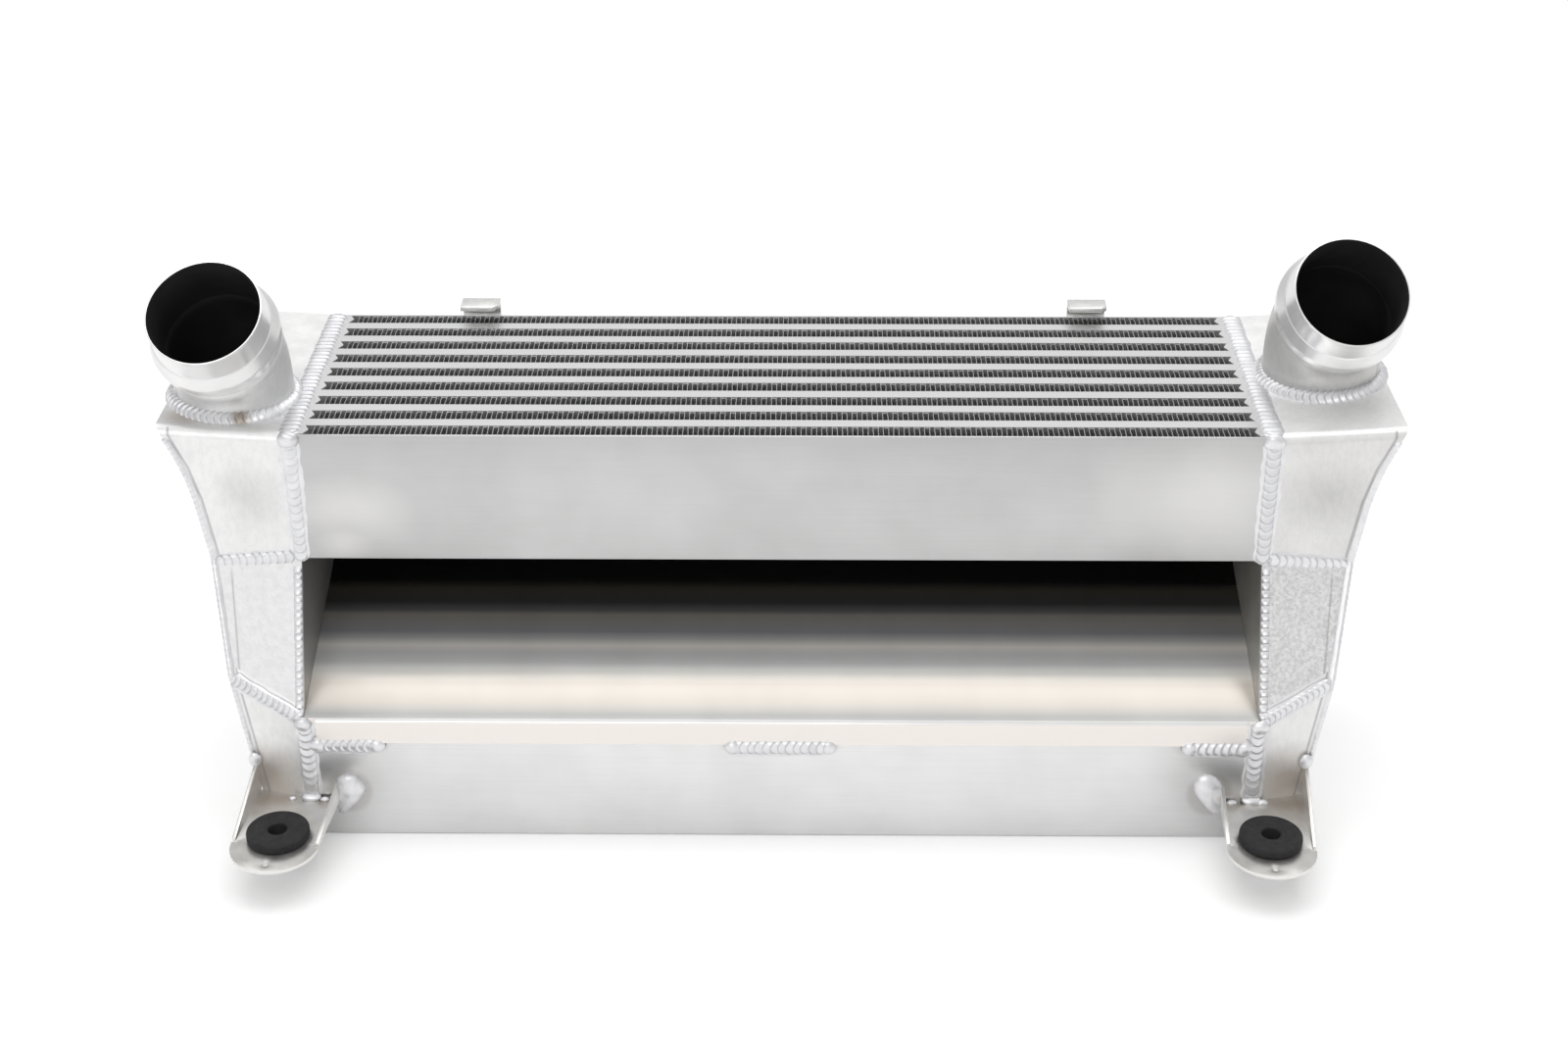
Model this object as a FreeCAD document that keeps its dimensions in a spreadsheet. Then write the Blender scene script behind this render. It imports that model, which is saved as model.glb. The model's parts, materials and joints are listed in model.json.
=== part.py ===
import FreeCAD, Part
import math
import os
import Sketcher

# Stepped twin-core charge air cooler
# Frame: +Z up, X along the cores, -Y is the front with the air duct. The origin is on the
# floor, below the middle of the part. All sizes are millimetres or degrees.

# Driving dimensions
SIZES = (
    ("core_length", 520, "header to header"),
    ("core_height", 75, "cooling air path through one core"),
    ("side_plate", 1.5, "outer plates of a core"),
    ("fin_layer", 10, "cooling air layer"),
    ("fin_rows", 9, "cooling air layers in a core"),
    ("parting_sheet", 0.8, "sheet between two layers"),
    ("charge_layer", 6.2, "charge air layer, and its closing bars"),
    ("charge_bar_height", 8, "closing bar along a charge air layer"),
    ("end_bar_length", 10, "closing bar at the end of a cooling layer"),
    ("end_bar_point", 2.4, "height of its pointed end"),
    ("fin_recess", 0.8, "fins below the face of the bars"),
    ("fin_gauge", 0.5, "fin sheet"),
    ("upper_fin_waves", 34, "folds of a fin strip, upper core"),
    ("lower_fin_waves", 16, "folds of a fin strip, lower core"),
    ("turbulator_waves", 5, "folds of a strip inside a charge layer"),
    ("braze_gap", 0.05, "film between fin crests and sheets"),
    ("duct_height", 81, "gap between the two cores"),
    ("core_step", 37, "lower core stands this far in front"),
    ("upper_front", -26, "front plane of the upper core"),
    ("tank_wall", 3, "end tank sheet, measured level"),
    ("shoulder_width", 70, "end tank at its top"),
    ("waist_width", 53, "end tank where the flare starts"),
    ("waist_drop", 45, "flare start below the top face"),
    ("foot_width", 26, "end tank at its foot"),
    ("shoulder_rise", 4.5, "top plate rises outwards"),
    ("fold_radius", 5.5, "fold along the tank's top front edge"),
    ("lower_sweep", 14, "lower tank panel swept back, degrees"),
    ("neck_margin", 6.5, "top plate wider than a neck tube"),
    ("neck_wall", 1.65, "wall of a neck tube, and of its adapter at the mouth"),
    ("neck_outward", 1.5, "neck axis outside the middle of the top plate"),
    ("neck_seat", 0.18, "neck tube above the top plate, inside its weld"),
    ("neck_bend", 40, "bend radius of a neck's axis"),
    ("neck_toe_out", 5.5, "bend plane turned outwards, degrees"),
    ("left_neck_setback", 44.2, "left neck behind the front plane"),
    ("left_neck_tilt", 36.5, "left mouth leans forward, degrees"),
    ("left_neck_straight", 9.2, "straight end after the bend"),
    ("left_neck_rise", 8.5, "straight start above the top face"),
    ("right_neck_setback", 73.4, "right neck behind the front plane"),
    ("right_neck_tilt", 43.5, "right mouth leans forward, degrees"),
    ("right_neck_straight", 6.1, "straight end after the bend"),
    ("right_neck_rise", 12.5, "straight start above the top face"),
    ("rim_step", 0.6, "adapter's rim inside the neck tube's outside"),
    ("rim_length", 2.2, "straight rim"),
    ("nose_step", 0.35, "end of the lead-in cone outside the neck tube"),
    ("nose_length", 14.8, "mouth to the end of the lead-in cone"),
    ("land_step", 3.35, "seal land, likewise"),
    ("land_start", 22, "mouth to the seal land"),
    ("land_end", 26.4, "mouth to the end of the seal land"),
    ("groove_step", 0.85, "bottom of the clip groove, likewise"),
    ("groove_width", 2.2, "clip groove"),
    ("collar_step", 1.85, "collar behind the groove, likewise"),
    ("adapter_length", 31, "mouth to the neck tube"),
    ("deflector_sheet", 2, "air deflector"),
    ("deflector_slope", 17.5, "straight front of the deflector, degrees"),
    ("deflector_straight", 105, "level length of that straight"),
    ("lip_height", 13, "lip in front of the lower core"),
    ("lip_fold", 2.6, "outside radius of the fold above the lip"),
    ("lip_end_gap", 6.5, "lip stops short of the core ends"),
    ("bracket_sheet", 2, "mount bracket"),
    ("bracket_width", 48, "outside of the flanges"),
    ("bracket_floor", 24, "top of the bracket's floor above the base"),
    ("bracket_outward", 7.75, "bracket's middle outside the core end"),
    ("bracket_shift", -0.8, "both brackets sit this far to one side"),
    ("bracket_reach", 43.5, "nose centre in front of the lower core"),
    ("left_bracket_turn", -5.5, "left bracket turned about its root, degrees"),
    ("right_bracket_turn", -3.2, "right bracket turned about its root, degrees"),
    ("bracket_fold", 3.5, "nose ring narrower than the flanges, each side"),
    ("flange_fold", 1.8, "outside radius of the folds below the flanges"),
    ("inner_flange_height", 10.5, "inner flange above the floor at the core"),
    ("outer_flange_height", 19, "outer flange above the floor at the tank"),
    ("flange_toe", 1.5, "flange above the floor at the nose"),
    ("relief_width", 1.4, "slit between nose and flange"),
    ("pilot_diameter", 3, "small hole in the nose"),
    ("pilot_reach", 18, "small hole in front of the nose centre"),
    ("grommet_diameter", 34, "rubber mount"),
    ("grommet_waist", 24, "rubber mount in the floor"),
    ("grommet_bore", 10.2, "bolt hole of the rubber mount"),
    ("grommet_flange", 5.6, "rubber above and below the floor"),
    ("grommet_round", 1.2, "rounded rubber edges"),
    ("grommet_setback", 7.2, "rubber mount behind the nose centre"),
    ("grommet_clearance", 0.1, "rubber to sheet"),
    ("hook_width", 22, "hanger hook"),
    ("hook_sheet", 3, "hanger hook"),
    ("hook_inset", 84, "hook's middle inside the core end"),
    ("hook_rise", 10, "top of the hook above the core"),
    ("hook_leg", 22, "leg below the top face"),
    ("hook_flange", 14, "flange reaching forward, with the leg"),
    ("hook_bevel", 3, "cut corner of the flange"),
    ("face_bead_width", 12, "weld along the fin face"),
    ("face_bead_height", 3, "its height"),
    ("seam_bead_width", 8, "welds on the tank fronts"),
    ("seam_bead_height", 2.6, "their height"),
    ("edge_bead_width", 5, "narrow welds along outer and inner edges"),
    ("edge_bead_height", 2.4, "their height"),
    ("corner_bead_height", 1.7, "outer corner welds, out of each face"),
    ("stitch_length", 62, "middle stitch on the deflector's lip"),
    ("stitch_above", 3, "stitches above the lip's lower edge"),
    ("stitch_below", 7, "stitches below that edge"),
    ("end_stitch_length", 37, "stitches at the lip's ends"),
    ("seam_short", 8, "upper tank seam stops short of the outer corner"),
    ("ring_bead", 6.6, "weld around a neck, on each leg"),
    ("ring_crown", 0.72, "its crown, share of the leg"),
    ("ring_trim", 0.6, "ring weld past the top plate's outer edge"),
    ("bracket_bead_width", 14, "radius of the weld beside a bracket's inner flange"),
    ("bracket_bead_height", 4.5, "its height"),
    ("bracket_bead_crown", 0.6, "its crown, share of the width"),
    ("bracket_bead_full", 0.8, "height at the crown, share of the height"),
    ("bracket_bead_middle", 27, "middle of that weld above the base"),
    ("seat_gap", 0.1, "clearance where curved pieces seat"),
)

doc = FreeCAD.newDocument("charge_air_cooler")
sheet = doc.addObject("Spreadsheet::Sheet", "Sizes")
for row, (alias, number, note) in enumerate(SIZES, 1):
    sheet.set(f"A{row}", note)
    sheet.set(f"B{row}", str(number))
    sheet.setAlias(f"B{row}", alias)
doc.recompute()


class Size:
    """A length worked out from the sheet: its value, and the formula that keeps it bound."""

    def __init__(self, value, formula):
        self.value = float(value)
        self.formula = formula

    def __add__(self, other):
        other = as_size(other)
        return Size(self.value + other.value, f"({self.formula} + {other.formula})")

    def __sub__(self, other):
        other = as_size(other)
        return Size(self.value - other.value, f"({self.formula} - {other.formula})")

    def __mul__(self, other):
        other = as_size(other)
        return Size(self.value * other.value, f"({self.formula} * {other.formula})")

    def __truediv__(self, other):
        other = as_size(other)
        return Size(self.value / other.value, f"({self.formula} / {other.formula})")

    def __radd__(self, other):
        return as_size(other) + self

    def __rsub__(self, other):
        return as_size(other) - self

    def __rmul__(self, other):
        return as_size(other) * self

    def __neg__(self):
        return Size(0, "0") - self

    def __float__(self):
        return self.value


def as_size(number):
    """A plain number as a Size."""
    return number if isinstance(number, Size) else Size(number, f"({number})")


def sine(angle):
    return Size(math.sin(math.radians(angle.value)), f"sin({angle.formula})")


def cosine(angle):
    return Size(math.cos(math.radians(angle.value)), f"cos({angle.formula})")


def tangent(angle):
    return Size(math.tan(math.radians(angle.value)), f"tan({angle.formula})")


class SheetSizes:
    """Every cell of the sheet as a Size, under its alias."""


size = SheetSizes()
for alias, number, note in SIZES:
    setattr(size, alias, Size(sheet.get(alias), f"Sizes.{alias}"))

# Positions that follow from the sizes
core_end = size.core_length / 2
layer_pitch = size.fin_layer + size.charge_layer + 2 * size.parting_sheet
core_depth = size.side_plate * 2 + size.fin_rows * layer_pitch - size.charge_layer - 2 * size.parting_sheet
lower_top = size.core_height
upper_bottom = lower_top + size.duct_height
upper_top = upper_bottom + size.core_height
lower_front = size.upper_front - size.core_step
upper_back = size.upper_front + core_depth
lower_back = lower_front + core_depth
sweep = tangent(size.lower_sweep)
rise_rate = size.shoulder_rise / size.shoulder_width
bracket_bottom = size.bracket_floor - size.bracket_sheet
nose_centre = lower_front - size.bracket_reach
bracket_centre = core_end + size.bracket_outward
neck_radius = (size.shoulder_width - size.neck_margin) / 2
neck_bore = neck_radius - size.neck_wall
neck_offset = size.shoulder_width / 2 + size.neck_outward
rim_radius = neck_radius - size.rim_step
nose_radius = neck_radius + size.nose_step
land_radius = neck_radius + size.land_step
groove_radius = neck_radius + size.groove_step
collar_radius = neck_radius + size.collar_step
lean_back = size.core_step / size.duct_height
BEYOND = 40
TOUCH = 0.01

PLANES = {"XY": "XY_Plane", "XZ": "XZ_Plane", "YZ": "YZ_Plane"}
SIDES = (("left", -1), ("right", 1))

parts = []


def new_body(label):
    """An empty body that becomes one node."""
    body = doc.addObject("PartDesign::Body", label)
    body.Label = label
    body.AllowCompound = True
    parts.append(body)
    return body


def keep_shape(label, solids):
    """A node whose solids are worked out point by point."""
    feature = doc.addObject("Part::Feature", label)
    feature.Label = label
    feature.Shape = solids[0] if len(solids) == 1 else Part.makeCompound(solids)
    parts.append(feature)
    return feature


def origin_item(body, role):
    """One of the body's own origin planes or axes."""
    return next(item for item in body.Origin.OriginFeatures if item.Role == role)


def new_sketch(body, plane, start=0):
    """A sketch parallel to an origin plane, moved along the plane's axis to start."""
    sketch = body.newObject("Sketcher::SketchObject", "Outline")
    sketch.AttachmentSupport = (origin_item(body, PLANES[plane]), [""])
    sketch.MapMode = "FlatFace"
    start = as_size(start)
    offset = -start if plane == "XZ" else start
    sketch.setExpression("AttachmentOffset.Base.z", offset.formula)
    return sketch


def bind(sketch, kind, geometry, vertex, size_value):
    """Place one coordinate of a sketch point, measured from the sketch's origin."""
    size_value = as_size(size_value)
    constraint = Sketcher.Constraint(kind, -1, 1, geometry, vertex, size_value.value)
    index = sketch.addConstraint(constraint)
    sketch.setExpression(f"Constraints[{index}]", size_value.formula)


def point(across, up):
    return FreeCAD.Vector(float(across), float(up), 0)


def draw_polygon(sketch, corners):
    """A closed outline whose corners are all bound to the sheet."""
    count = len(corners)
    first = sketch.GeometryCount
    for index in range(count):
        start = corners[index]
        end = corners[(index + 1) % count]
        sketch.addGeometry(Part.LineSegment(point(*start), point(*end)), False)
    for index in range(count):
        following = first + (index + 1) % count
        sketch.addConstraint(Sketcher.Constraint("Coincident", first + index, 2, following, 1))
    for index, (across, up) in enumerate(corners):
        bind(sketch, "DistanceX", first + index, 1, across)
        bind(sketch, "DistanceY", first + index, 1, up)


def draw_circle(sketch, centre, radius):
    """A circle bound to the sheet."""
    radius = as_size(radius)
    circle = Part.Circle(point(*centre), FreeCAD.Vector(0, 0, 1), radius.value)
    index = sketch.addGeometry(circle, False)
    bind(sketch, "DistanceX", index, 3, centre[0])
    bind(sketch, "DistanceY", index, 3, centre[1])
    constraint = sketch.addConstraint(Sketcher.Constraint("Radius", index, radius.value))
    sketch.setExpression(f"Constraints[{constraint}]", radius.formula)


def arc_between(start, end, centre, counterclockwise):
    """The circular arc from start to end about a centre."""
    middle = point(*centre)
    begin = point(*start) - middle
    finish = point(*end) - middle
    first = math.atan2(begin.y, begin.x)
    last = math.atan2(finish.y, finish.x)
    if not counterclockwise:
        first, last = last, first
    circle = Part.Circle(middle, FreeCAD.Vector(0, 0, 1), begin.Length)
    return Part.ArcOfCircle(circle, first, last if last > first else last + 2 * math.pi)


def draw_path(sketch, steps, closed=True):
    """Lines and arcs end to end. A step is (corner, None), or (corner, (centre, turns left))."""
    count = len(steps)
    spans = count if closed else count - 1
    first = sketch.GeometryCount
    ends = []
    for index in range(spans):
        corner, bend = steps[index]
        following = steps[(index + 1) % count][0]
        if bend is None:
            sketch.addGeometry(Part.LineSegment(point(*corner), point(*following)), False)
            ends.append((1, 2))
        else:
            centre, left = bend
            sketch.addGeometry(arc_between(corner, following, centre, left), False)
            ends.append((1, 2) if left else (2, 1))
    for index in range(spans if closed else spans - 1):
        following = (index + 1) % spans
        joint = Sketcher.Constraint(
            "Coincident", first + index, ends[index][1], first + following, ends[following][0]
        )
        sketch.addConstraint(joint)
    for index in range(spans):
        corner, bend = steps[index]
        bind(sketch, "DistanceX", first + index, ends[index][0], corner[0])
        bind(sketch, "DistanceY", first + index, ends[index][0], corner[1])
        if bend is not None:
            following = steps[(index + 1) % count][0]
            level_chord = abs(float(following[0]) - float(corner[0]))
            steep_chord = abs(float(following[1]) - float(corner[1]))
            kind = "DistanceY" if steep_chord < level_chord else "DistanceX"
            bind(sketch, kind, first + index, 3, bend[0][0 if kind == "DistanceX" else 1])
    if not closed:
        corner = steps[-1][0]
        bind(sketch, "DistanceX", first + spans - 1, ends[-1][1], corner[0])
        bind(sketch, "DistanceY", first + spans - 1, ends[-1][1], corner[1])


def add_length(body, kind, sketch, plane, start, end, forward):
    """A pad or pocket from start to end along the plane's axis."""
    feature = body.newObject(kind, kind.split("::")[1])
    feature.Profile = sketch
    feature.setExpression("Length", (as_size(end) - as_size(start)).formula)
    feature.Reversed = forward
    return feature


def pad(body, plane, corners, start, end):
    """Material with this outline from start to end along the axis across the plane."""
    if float(start) > float(end):
        start, end = end, start
    sketch = new_sketch(body, plane, start)
    draw_polygon(sketch, corners)
    return add_length(body, "PartDesign::Pad", sketch, plane, start, end, plane == "XZ")


def pad_sketch(body, plane, sketch, start, end):
    """The same for a sketch that is already drawn at start."""
    return add_length(body, "PartDesign::Pad", sketch, plane, start, end, plane == "XZ")


def cut_sketch(body, plane, sketch, start, end):
    """Material taken away from start to end, for a sketch that is already drawn at start."""
    return add_length(body, "PartDesign::Pocket", sketch, plane, start, end, plane != "XZ")


def cut(body, plane, corners, start, end):
    """Material taken away inside this outline from start to end."""
    if float(start) > float(end):
        start, end = end, start
    sketch = new_sketch(body, plane, start)
    draw_polygon(sketch, corners)
    return cut_sketch(body, plane, sketch, start, end)


def repeat(body, originals, axis, pitch, count):
    """The originals copied along an axis of the body."""
    pattern = body.newObject("PartDesign::LinearPattern", "Repeat")
    pattern.Originals = originals
    pattern.Direction = (origin_item(body, axis), [""])
    pattern.Mode = "Spacing"
    pattern.setExpression("Offset", pitch.formula)
    pattern.setExpression("Occurrences", count.formula)
    body.Tip = pattern
    return pattern


def rectangle(left, bottom, right, top):
    return [(left, bottom), (right, bottom), (right, top), (left, top)]


# Cores: plates, parting sheets, closing bars, fins and turbulators


def side_plates(name, front, bottom):
    """The two outer plates of a core."""
    top = bottom + size.core_height
    outline = rectangle(-core_end, bottom, core_end, top)
    plate = new_body(f"{name}_front_side_plate")
    pad(plate, "XZ", outline, front, front + size.side_plate)
    plate = new_body(f"{name}_back_side_plate")
    back = front + core_depth
    pad(plate, "XZ", outline, back - size.side_plate, back)


def parting_sheets(name, front, bottom):
    """Thin sheets on both sides of every charge air layer."""
    body = new_body(f"{name}_parting_sheets")
    outline = rectangle(-core_end, bottom, core_end, bottom + size.core_height)
    first = front + size.side_plate + size.fin_layer
    second = first + size.parting_sheet + size.charge_layer
    pads = []
    for start in (first, second):
        pads.append(pad(body, "XZ", outline, start, start + size.parting_sheet))
    repeat(body, pads, "Y_Axis", layer_pitch, size.fin_rows - 1)


def charge_bars(name, front, bottom):
    """Bars that close the charge air layers along the top and bottom faces."""
    body = new_body(f"{name}_charge_bars")
    top = bottom + size.core_height
    start = front + size.side_plate + size.fin_layer + size.parting_sheet
    pads = []
    for low, high in ((bottom, bottom + size.charge_bar_height), (top - size.charge_bar_height, top)):
        outline = rectangle(-core_end, low, core_end, high)
        pads.append(pad(body, "XZ", outline, start, start + size.charge_layer))
    repeat(body, pads, "Y_Axis", layer_pitch, size.fin_rows - 1)


def fin_end_bars(name, front, bottom):
    """Bars with a pointed inner end that close the cooling layers at the tanks."""
    body = new_body(f"{name}_fin_end_bars")
    low = front + size.side_plate
    high = low + size.fin_layer
    pads = []
    for side in (-1, 1):
        outer = core_end * side
        tip = (core_end - size.end_bar_length) * side
        inner = (core_end - size.end_bar_length + size.end_bar_point) * side
        outline = [(outer, low), (outer, high), (inner, high), (tip, (low + high) / 2), (inner, low)]
        pads.append(pad(body, "XY", outline, bottom, bottom + size.core_height))
    repeat(body, pads, "Y_Axis", layer_pitch, size.fin_rows)


def folded_strip(length, layer, waves, low, high, middle):
    """A fin sheet folded in a zigzag that touches both sides of its layer."""
    half_pitch = length / (2 * waves)
    reach = layer / 2 - float(size.braze_gap)
    half_gauge = float(size.fin_gauge) / 2 * math.hypot(half_pitch, 2 * reach) / half_pitch
    crest = reach - half_gauge
    line = []
    for index in range(2 * waves + 1):
        line.append((-length / 2 + index * half_pitch, crest if index % 2 else -crest))
    outline = [FreeCAD.Vector(x, middle + y + half_gauge, low) for x, y in line]
    outline += [FreeCAD.Vector(x, middle + y - half_gauge, low) for x, y in reversed(line)]
    face = Part.Face(Part.makePolygon(outline + outline[:1]))
    return face.extrude(FreeCAD.Vector(0, 0, high - low))


def cooling_fins(name, front, bottom, waves):
    """One folded strip in every cooling air layer, just below the faces of the bars."""
    length = float(size.core_length - 2 * size.end_bar_length - 2 * size.seat_gap)
    low = float(bottom + size.fin_recess)
    high = float(bottom + size.core_height - size.fin_recess)
    strips = []
    for row in range(round(size.fin_rows.value)):
        middle = float(front + size.side_plate + size.fin_layer / 2 + row * layer_pitch)
        strips.append(folded_strip(length, float(size.fin_layer), waves, low, high, middle))
    keep_shape(f"{name}_cooling_fins", strips)


def turbulators(name, front, bottom):
    """One folded strip inside every charge air layer, between its closing bars."""
    length = float(size.core_length - 2 * size.end_bar_length)
    low = float(bottom + size.charge_bar_height + size.seat_gap)
    high = float(bottom + size.core_height - size.charge_bar_height - size.seat_gap)
    start = front + size.side_plate + size.fin_layer + size.parting_sheet + size.charge_layer / 2
    waves = round(size.turbulator_waves.value)
    strips = []
    for row in range(round(size.fin_rows.value) - 1):
        middle = float(start + row * layer_pitch)
        strips.append(folded_strip(length, float(size.charge_layer), waves, low, high, middle))
    keep_shape(f"{name}_turbulators", strips)


def core(name, front, bottom, waves):
    side_plates(name, front, bottom)
    parting_sheets(name, front, bottom)
    charge_bars(name, front, bottom)
    fin_end_bars(name, front, bottom)
    cooling_fins(name, front, bottom, round(waves.value))
    turbulators(name, front, bottom)


core("lower", lower_front, as_size(0), size.lower_fin_waves)
core("upper", size.upper_front, upper_bottom, size.upper_fin_waves)


# Air deflector: from a lip on the lower core up to the back of the upper core


def air_deflector():
    body = new_body("air_deflector")
    slope = size.deflector_slope
    gauge = size.deflector_sheet
    foot = (lower_front, lower_top)
    knee = (foot[0] + size.deflector_straight, foot[1] + size.deflector_straight * tangent(slope))
    tail = (upper_back, upper_bottom - gauge - size.seat_gap)
    run = tail[0] - knee[0]
    climb = tail[1] - knee[1]
    radius = (run * run + climb * climb) / (2 * (climb * cosine(slope) - run * sine(slope)))
    centre = (knee[0] - radius * sine(slope), knee[1] + radius * cosine(slope))
    inner = (radius - gauge) / radius
    tail_top = (centre[0] + (tail[0] - centre[0]) * inner, centre[1] + (tail[1] - centre[1]) * inner)
    knee_top = (knee[0] - gauge * sine(slope), knee[1] + gauge * cosine(slope))
    foot_top = (foot[0], foot[1] + gauge / cosine(slope))
    half = core_end - size.seat_gap
    sketch = new_sketch(body, "YZ", -half)
    steps = [
        (foot, None),
        (knee, (centre, True)),
        (tail, None),
        (tail_top, (centre, False)),
        (knee_top, None),
        (foot_top, None),
    ]
    draw_path(sketch, steps)
    pad_sketch(body, "YZ", sketch, -half, half)
    fold = size.lip_fold
    face = foot[0] - gauge
    hub = (face + fold, foot_top[1] - (gauge - fold) * tangent(slope) - fold / cosine(slope))
    lip_steps = [
        (foot, None),
        (foot_top, None),
        ((hub[0] - fold * sine(slope), hub[1] + fold * cosine(slope)), (hub, True)),
        ((face, hub[1]), None),
        ((face, foot[1] - size.lip_height), None),
        ((foot[0], foot[1] - size.lip_height), None),
    ]
    lip_half = core_end - size.lip_end_gap
    lip_sketch = new_sketch(body, "YZ", -lip_half)
    draw_path(lip_sketch, lip_steps)
    pad_sketch(body, "YZ", lip_sketch, -lip_half, lip_half)


air_deflector()


# End tanks: folded and welded sheet around the core ends


def outer_line(side, inset):
    """Foot, waist and tip of the tank's outer profile, moved in by inset."""
    foot = ((core_end + size.foot_width - inset) * side, as_size(0))
    waist = ((core_end + size.waist_width - inset) * side, upper_top - size.waist_drop)
    tip = ((core_end + size.shoulder_width - inset) * side, upper_top + size.shoulder_rise)
    return foot, waist, tip


def flare_centre(waist, foot, tip):
    """Centre of the arc that leaves the straight wall at the waist and ends at the tip."""
    along = (waist[0] - foot[0], waist[1] - foot[1])
    span = (tip[0] - waist[0], tip[1] - waist[1])
    cross = along[0] * span[1] - along[1] * span[0]
    reach = (span[0] * span[0] + span[1] * span[1]) / (2 * cross)
    return (waist[0] - along[1] * reach, waist[1] + along[0] * reach)


def trim_outside(body, side):
    """Cut away what lies outside the tank's outer profile."""
    foot, waist, tip = outer_line(side, 0)
    centre = flare_centre(waist, foot, tip)
    far = (core_end + size.shoulder_width + BEYOND) * side
    above = tip[1] + BEYOND
    start = nose_centre
    sketch = new_sketch(body, "XZ", start)
    steps = [
        (foot, None),
        (waist, (centre, side < 0)),
        (tip, None),
        ((tip[0], above), None),
        ((far, above), None),
        ((far, as_size(-BEYOND)), None),
        ((foot[0], as_size(-BEYOND)), None),
    ]
    draw_path(sketch, steps)
    cut_sketch(body, "XZ", sketch, start, upper_back + BEYOND)


def trim_front_of_sweep(body, side, inset):
    """Cut away what lies in front of the swept lower panel, moved back by inset."""
    near = core_end - BEYOND
    far = core_end + size.shoulder_width + BEYOND
    ahead = lower_front - BEYOND
    corners = [
        (near * side, ahead),
        (far * side, ahead),
        (far * side, lower_front + inset + (far - core_end) * sweep),
        (near * side, lower_front + inset + (near - core_end) * sweep),
    ]
    cut(body, "XY", corners, as_size(-BEYOND), upper_top + BEYOND)


def front_region(inset):
    """Side view of what lies in front of the tank's front, moved back by inset."""
    ahead = lower_front - BEYOND
    return [
        (ahead, upper_top + BEYOND),
        (size.upper_front + inset, upper_top + BEYOND),
        (size.upper_front + inset, upper_bottom),
        (lower_front + inset, lower_top),
        (lower_front + inset, as_size(-BEYOND)),
        (ahead, as_size(-BEYOND)),
    ]


def back_region(inset):
    """Side view of what lies behind the tank's back, moved forward by inset."""
    behind = upper_back + BEYOND
    return [
        (behind, upper_top + BEYOND),
        (upper_back - inset, upper_top + BEYOND),
        (upper_back - inset, upper_bottom),
        (lower_back - inset, lower_top),
        (lower_back - inset, as_size(-BEYOND)),
        (behind, as_size(-BEYOND)),
    ]


def top_line(reach, drop):
    """Height of the rising top plate at a distance outwards from the core."""
    return upper_top + reach * rise_rate - drop


def fold_edge(feature, side):
    """The edge where the tank's front panel meets its top plate."""
    for index, edge in enumerate(feature.Shape.Edges, 1):
        box = edge.BoundBox
        level = abs(box.YMin - float(size.upper_front)) < TOUCH and box.YLength < TOUCH
        high = box.ZMin > float(upper_top) - TOUCH
        if level and high and box.XLength > float(size.shoulder_width) / 2:
            return f"Edge{index}"
    return None


def shoulder_panel(name, side, setback):
    """Front panel and top plate, folded from one sheet, with the neck's hole."""
    body = new_body(f"{name}_shoulder_panel")
    far = size.shoulder_width + BEYOND / 2
    outer = (core_end + far) * side
    inner = core_end * side
    front = [
        (inner, upper_bottom),
        (outer, upper_bottom),
        (outer, top_line(far, 0)),
        (inner, upper_top),
    ]
    pad(body, "XZ", front, size.upper_front, size.upper_front + size.tank_wall)
    plate = [
        (inner, top_line(as_size(0), size.tank_wall)),
        (outer, top_line(far, size.tank_wall)),
        (outer, top_line(far, 0)),
        (inner, upper_top),
    ]
    top = pad(body, "XZ", plate, size.upper_front, upper_back)
    doc.recompute()
    fillet = body.newObject("PartDesign::Fillet", "Fold")
    fillet.Base = (top, [fold_edge(top, side)])
    fillet.setExpression("Radius", size.fold_radius.formula)
    trim_outside(body, side)
    low = upper_top - size.tank_wall - BEYOND / 2
    sketch = new_sketch(body, "XY", low)
    centre = ((core_end + neck_offset) * side, size.upper_front + setback)
    draw_circle(sketch, centre, neck_bore)
    cut_sketch(body, "XY", sketch, low, upper_top + BEYOND)


def middle_panel(name, side):
    """Slanted panel that carries the tank forward to the lower core."""
    body = new_body(f"{name}_middle_panel")
    lead = lean_back * BEYOND / 2
    low = lower_top - BEYOND / 2
    outline = [
        (size.upper_front, upper_bottom),
        (size.upper_front + size.tank_wall, upper_bottom),
        (lower_front - lead + size.tank_wall, low),
        (lower_front - lead, low),
    ]
    far = core_end + size.shoulder_width + BEYOND / 2
    pad(body, "YZ", outline, core_end * side, far * side)
    trim_front_of_sweep(body, side, size.tank_wall)
    trim_outside(body, side)


def lower_panel(name, side):
    """Upright panel beside the lower core, swept back towards its outer edge."""
    body = new_body(f"{name}_lower_panel")
    far = core_end + size.shoulder_width
    back = size.shoulder_width * sweep
    outline = [
        (core_end * side, lower_front),
        (far * side, lower_front + back),
        (far * side, lower_front + back + size.tank_wall),
        (core_end * side, lower_front + size.tank_wall),
    ]
    pad(body, "XY", outline, size.tank_wall, upper_bottom)
    lead = lean_back * BEYOND
    above = [
        (lower_front - lead, lower_top - BEYOND),
        (size.upper_front + lead, upper_bottom + BEYOND),
        (lower_front - lead, upper_bottom + BEYOND),
    ]
    cut(body, "YZ", above, (core_end - BEYOND) * side, (far + BEYOND) * side)
    trim_outside(body, side)


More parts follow.
